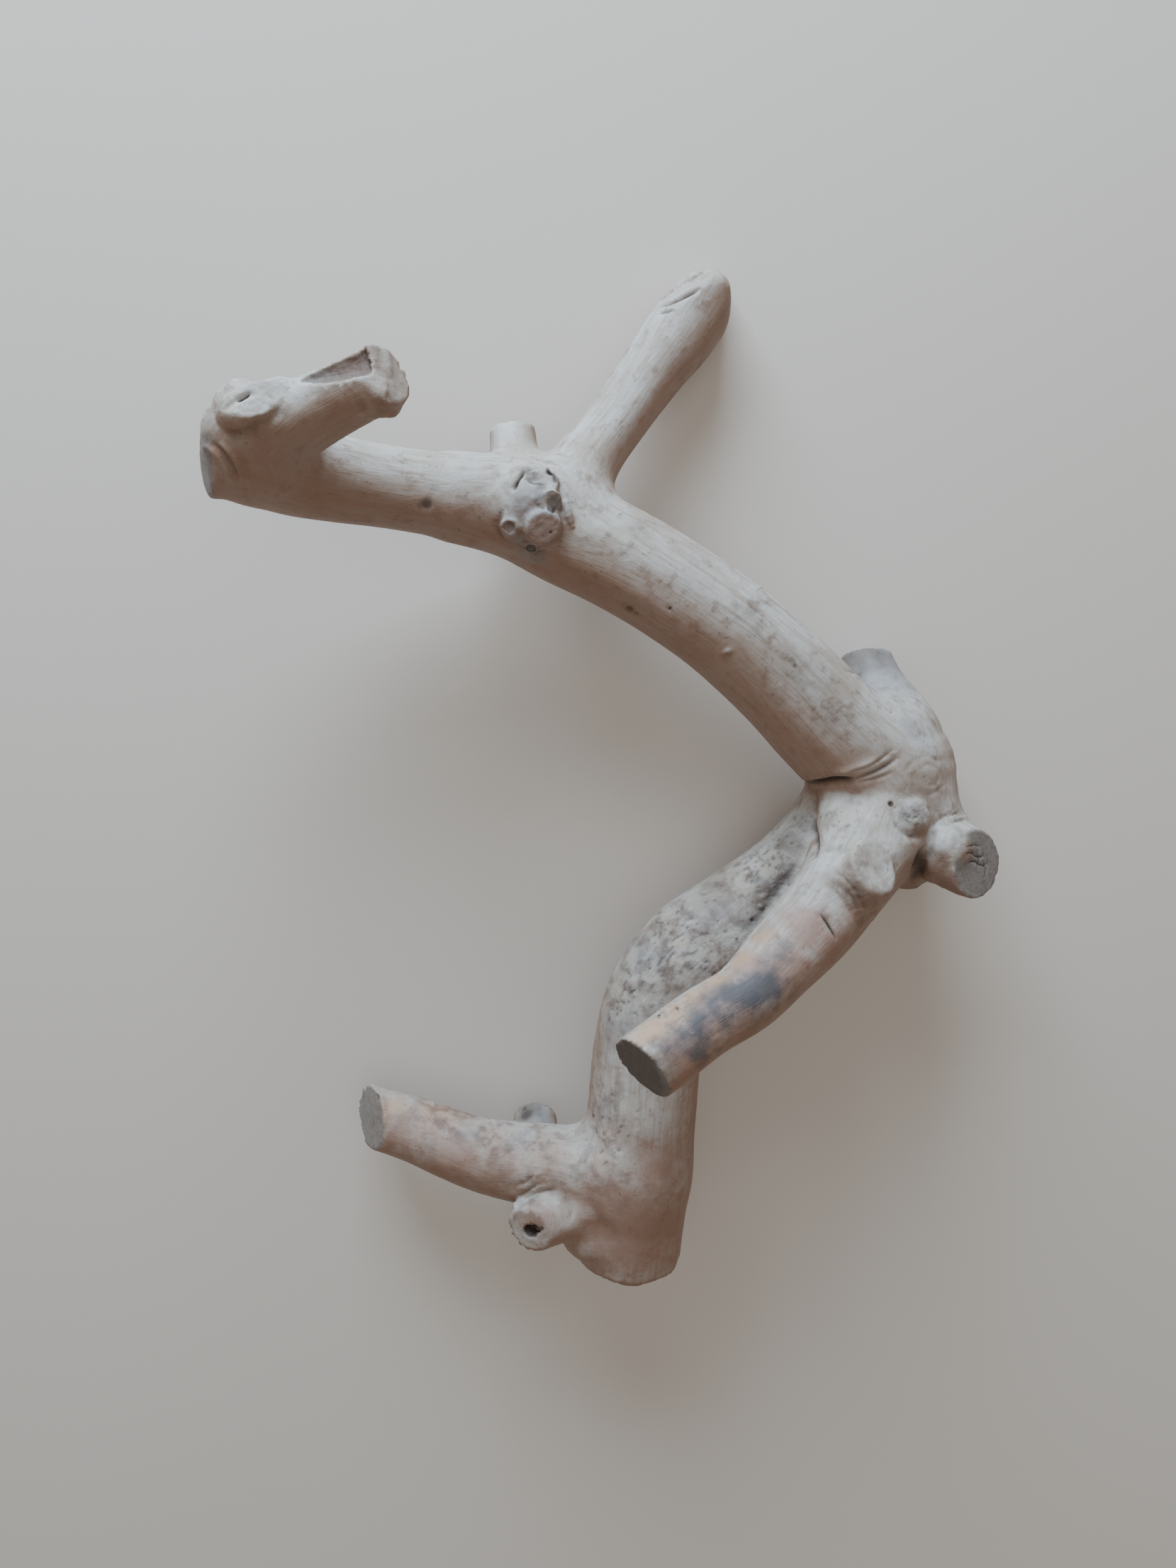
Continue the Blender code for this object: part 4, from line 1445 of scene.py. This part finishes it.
    # Dirt and painted shade in the creases, cracks, pits and hollows
    colour = blended(math_node("MULTIPLY", stepped(read["dirt"], 0.05, 0.9), 0.92), colour, DIRT_AND_SHADE_BROWN)
    tree.links.new(colour, shader.inputs["Base Color"])

    height = math_node("ADD", math_node("MULTIPLY", streak, 0.5), math_node("MULTIPLY", fibre, 0.35))
    height = math_node("ADD", height, math_node("MULTIPLY", mottle, 0.5))
    height = math_node("ADD", height, math_node("MULTIPLY", fleck, 0.15))
    crust_share = math_node("MULTIPLY", read["rough"], 2.2)
    height = math_node("ADD", height, math_node("MULTIPLY", crust, crust_share))
    links = {"Height": height, "Strength": BUMP_STRENGTH, "Distance": BUMP_METRES}
    bump = add(tree, "ShaderNodeBump", links)
    tree.links.new(bump.outputs[0], shader.inputs["Normal"])
    links = {"Value": streak, "To Min": SMOOTHEST, "To Max": ROUGHEST}
    tree.links.new(add(tree, "ShaderNodeMapRange", links).outputs[0], shader.inputs["Roughness"])
    shader.inputs["IOR"].default_value = WOOD_IOR
    shader.inputs["Metallic"].default_value = 0.0
    return material


# %% [markdown]
# ## Laying it down
#
# The skin was made in leaning axes and in millimetres. One matrix turns it, shrinks it to metres
# and puts it where the solids lie. As the real branch is one piece with no seams, this one piece
# stands for every limb in the frame.

# %% Lay the finished branch down
skin.shade_smooth()
skin.transform(lay_down)
skin.materials.append(wood_material())
branch = bpy.data.objects.new("tree_branch", skin)
bpy.context.scene.collection.objects.link(branch)
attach(branch, "root")
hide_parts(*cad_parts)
print("laid down:", branch.name, len(skin.polygons), "faces")

# %% [markdown]
# ## Floor and light
#
# A plain pale floor catches the shadows. One large cool light low behind the top of the branch
# stands in for a window, and leaves the sides away from it in soft shade. A weaker, warmer one
# overhead and a little warm light from all round keep the shadows open.

# %% Floor and light
# The floor lies a hair below the branch, so that the two never share a plane
FLOOR_DROP = 0.0005
FLOOR_HALF_SIZE = 4.0
floor_mesh = bpy.data.meshes.new("floor")
floor_shape = bmesh.new()
bmesh.ops.create_grid(floor_shape, x_segments=1, y_segments=1, size=FLOOR_HALF_SIZE)
floor_shape.to_mesh(floor_mesh)
floor_shape.free()
floor = bpy.data.objects.new("floor", floor_mesh)
floor.location = (0, 0, -FLOOR_DROP)
bpy.context.scene.collection.objects.link(floor)
pale_floor = bpy.data.materials.new("pale_floor")
pale_floor.use_nodes = True
floor_shader = pale_floor.node_tree.nodes["Principled BSDF"]
floor_shader.inputs["Base Color"].default_value = linear("eae4dc")
floor_shader.inputs["Roughness"].default_value = 0.9
floor_mesh.materials.append(pale_floor)
floor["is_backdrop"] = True


BRANCH_MIDDLE = (0, 0, 0.03)
# Soft lights: place and width in metres, power in watts and colour
LIGHTS = {
    "window": ((-0.28, 0.97, 0.36), 0.7, 19.5, (0.71, 0.86, 1.0)),
    "ceiling": ((0.1, 0.1, 1.7), 1.4, 3.5, (1.0, 0.97, 0.94)),
}
ROOM_COLOUR = (1.0, 0.9, 0.8, 1)
ROOM_STRENGTH = 0.28


def softbox(name, place, size, power, colour):
    """A square soft light that looks at the middle of the branch."""
    data = bpy.data.lights.new(name, "AREA")
    data.shape = "SQUARE"
    data.size = size
    data.energy = power
    data.color = colour
    light = bpy.data.objects.new(name, data)
    light.location = place
    towards = Vector(BRANCH_MIDDLE) - Vector(place)
    light.rotation_euler = towards.to_track_quat("-Z", "Y").to_euler()
    bpy.context.scene.collection.objects.link(light)


for name, light in LIGHTS.items():
    softbox(name, *light)
world = bpy.data.worlds.new("room")
world.use_nodes = True
background = world.node_tree.nodes["Background"]
background.inputs["Color"].default_value = ROOM_COLOUR
background.inputs["Strength"].default_value = ROOM_STRENGTH
bpy.context.scene.world = world
print("lights:", list(LIGHTS))

# %% Finish
seen_low, seen_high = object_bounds()
sizes = {
    "cad": [list(cad_low), list(cad_high)],
    "seen": [list(seen_low), list(seen_high)],
}
for key, (low, high) in sizes.items():
    print(key, [round(v * 1000, 1) for v in low], [round(v * 1000, 1) for v in high])
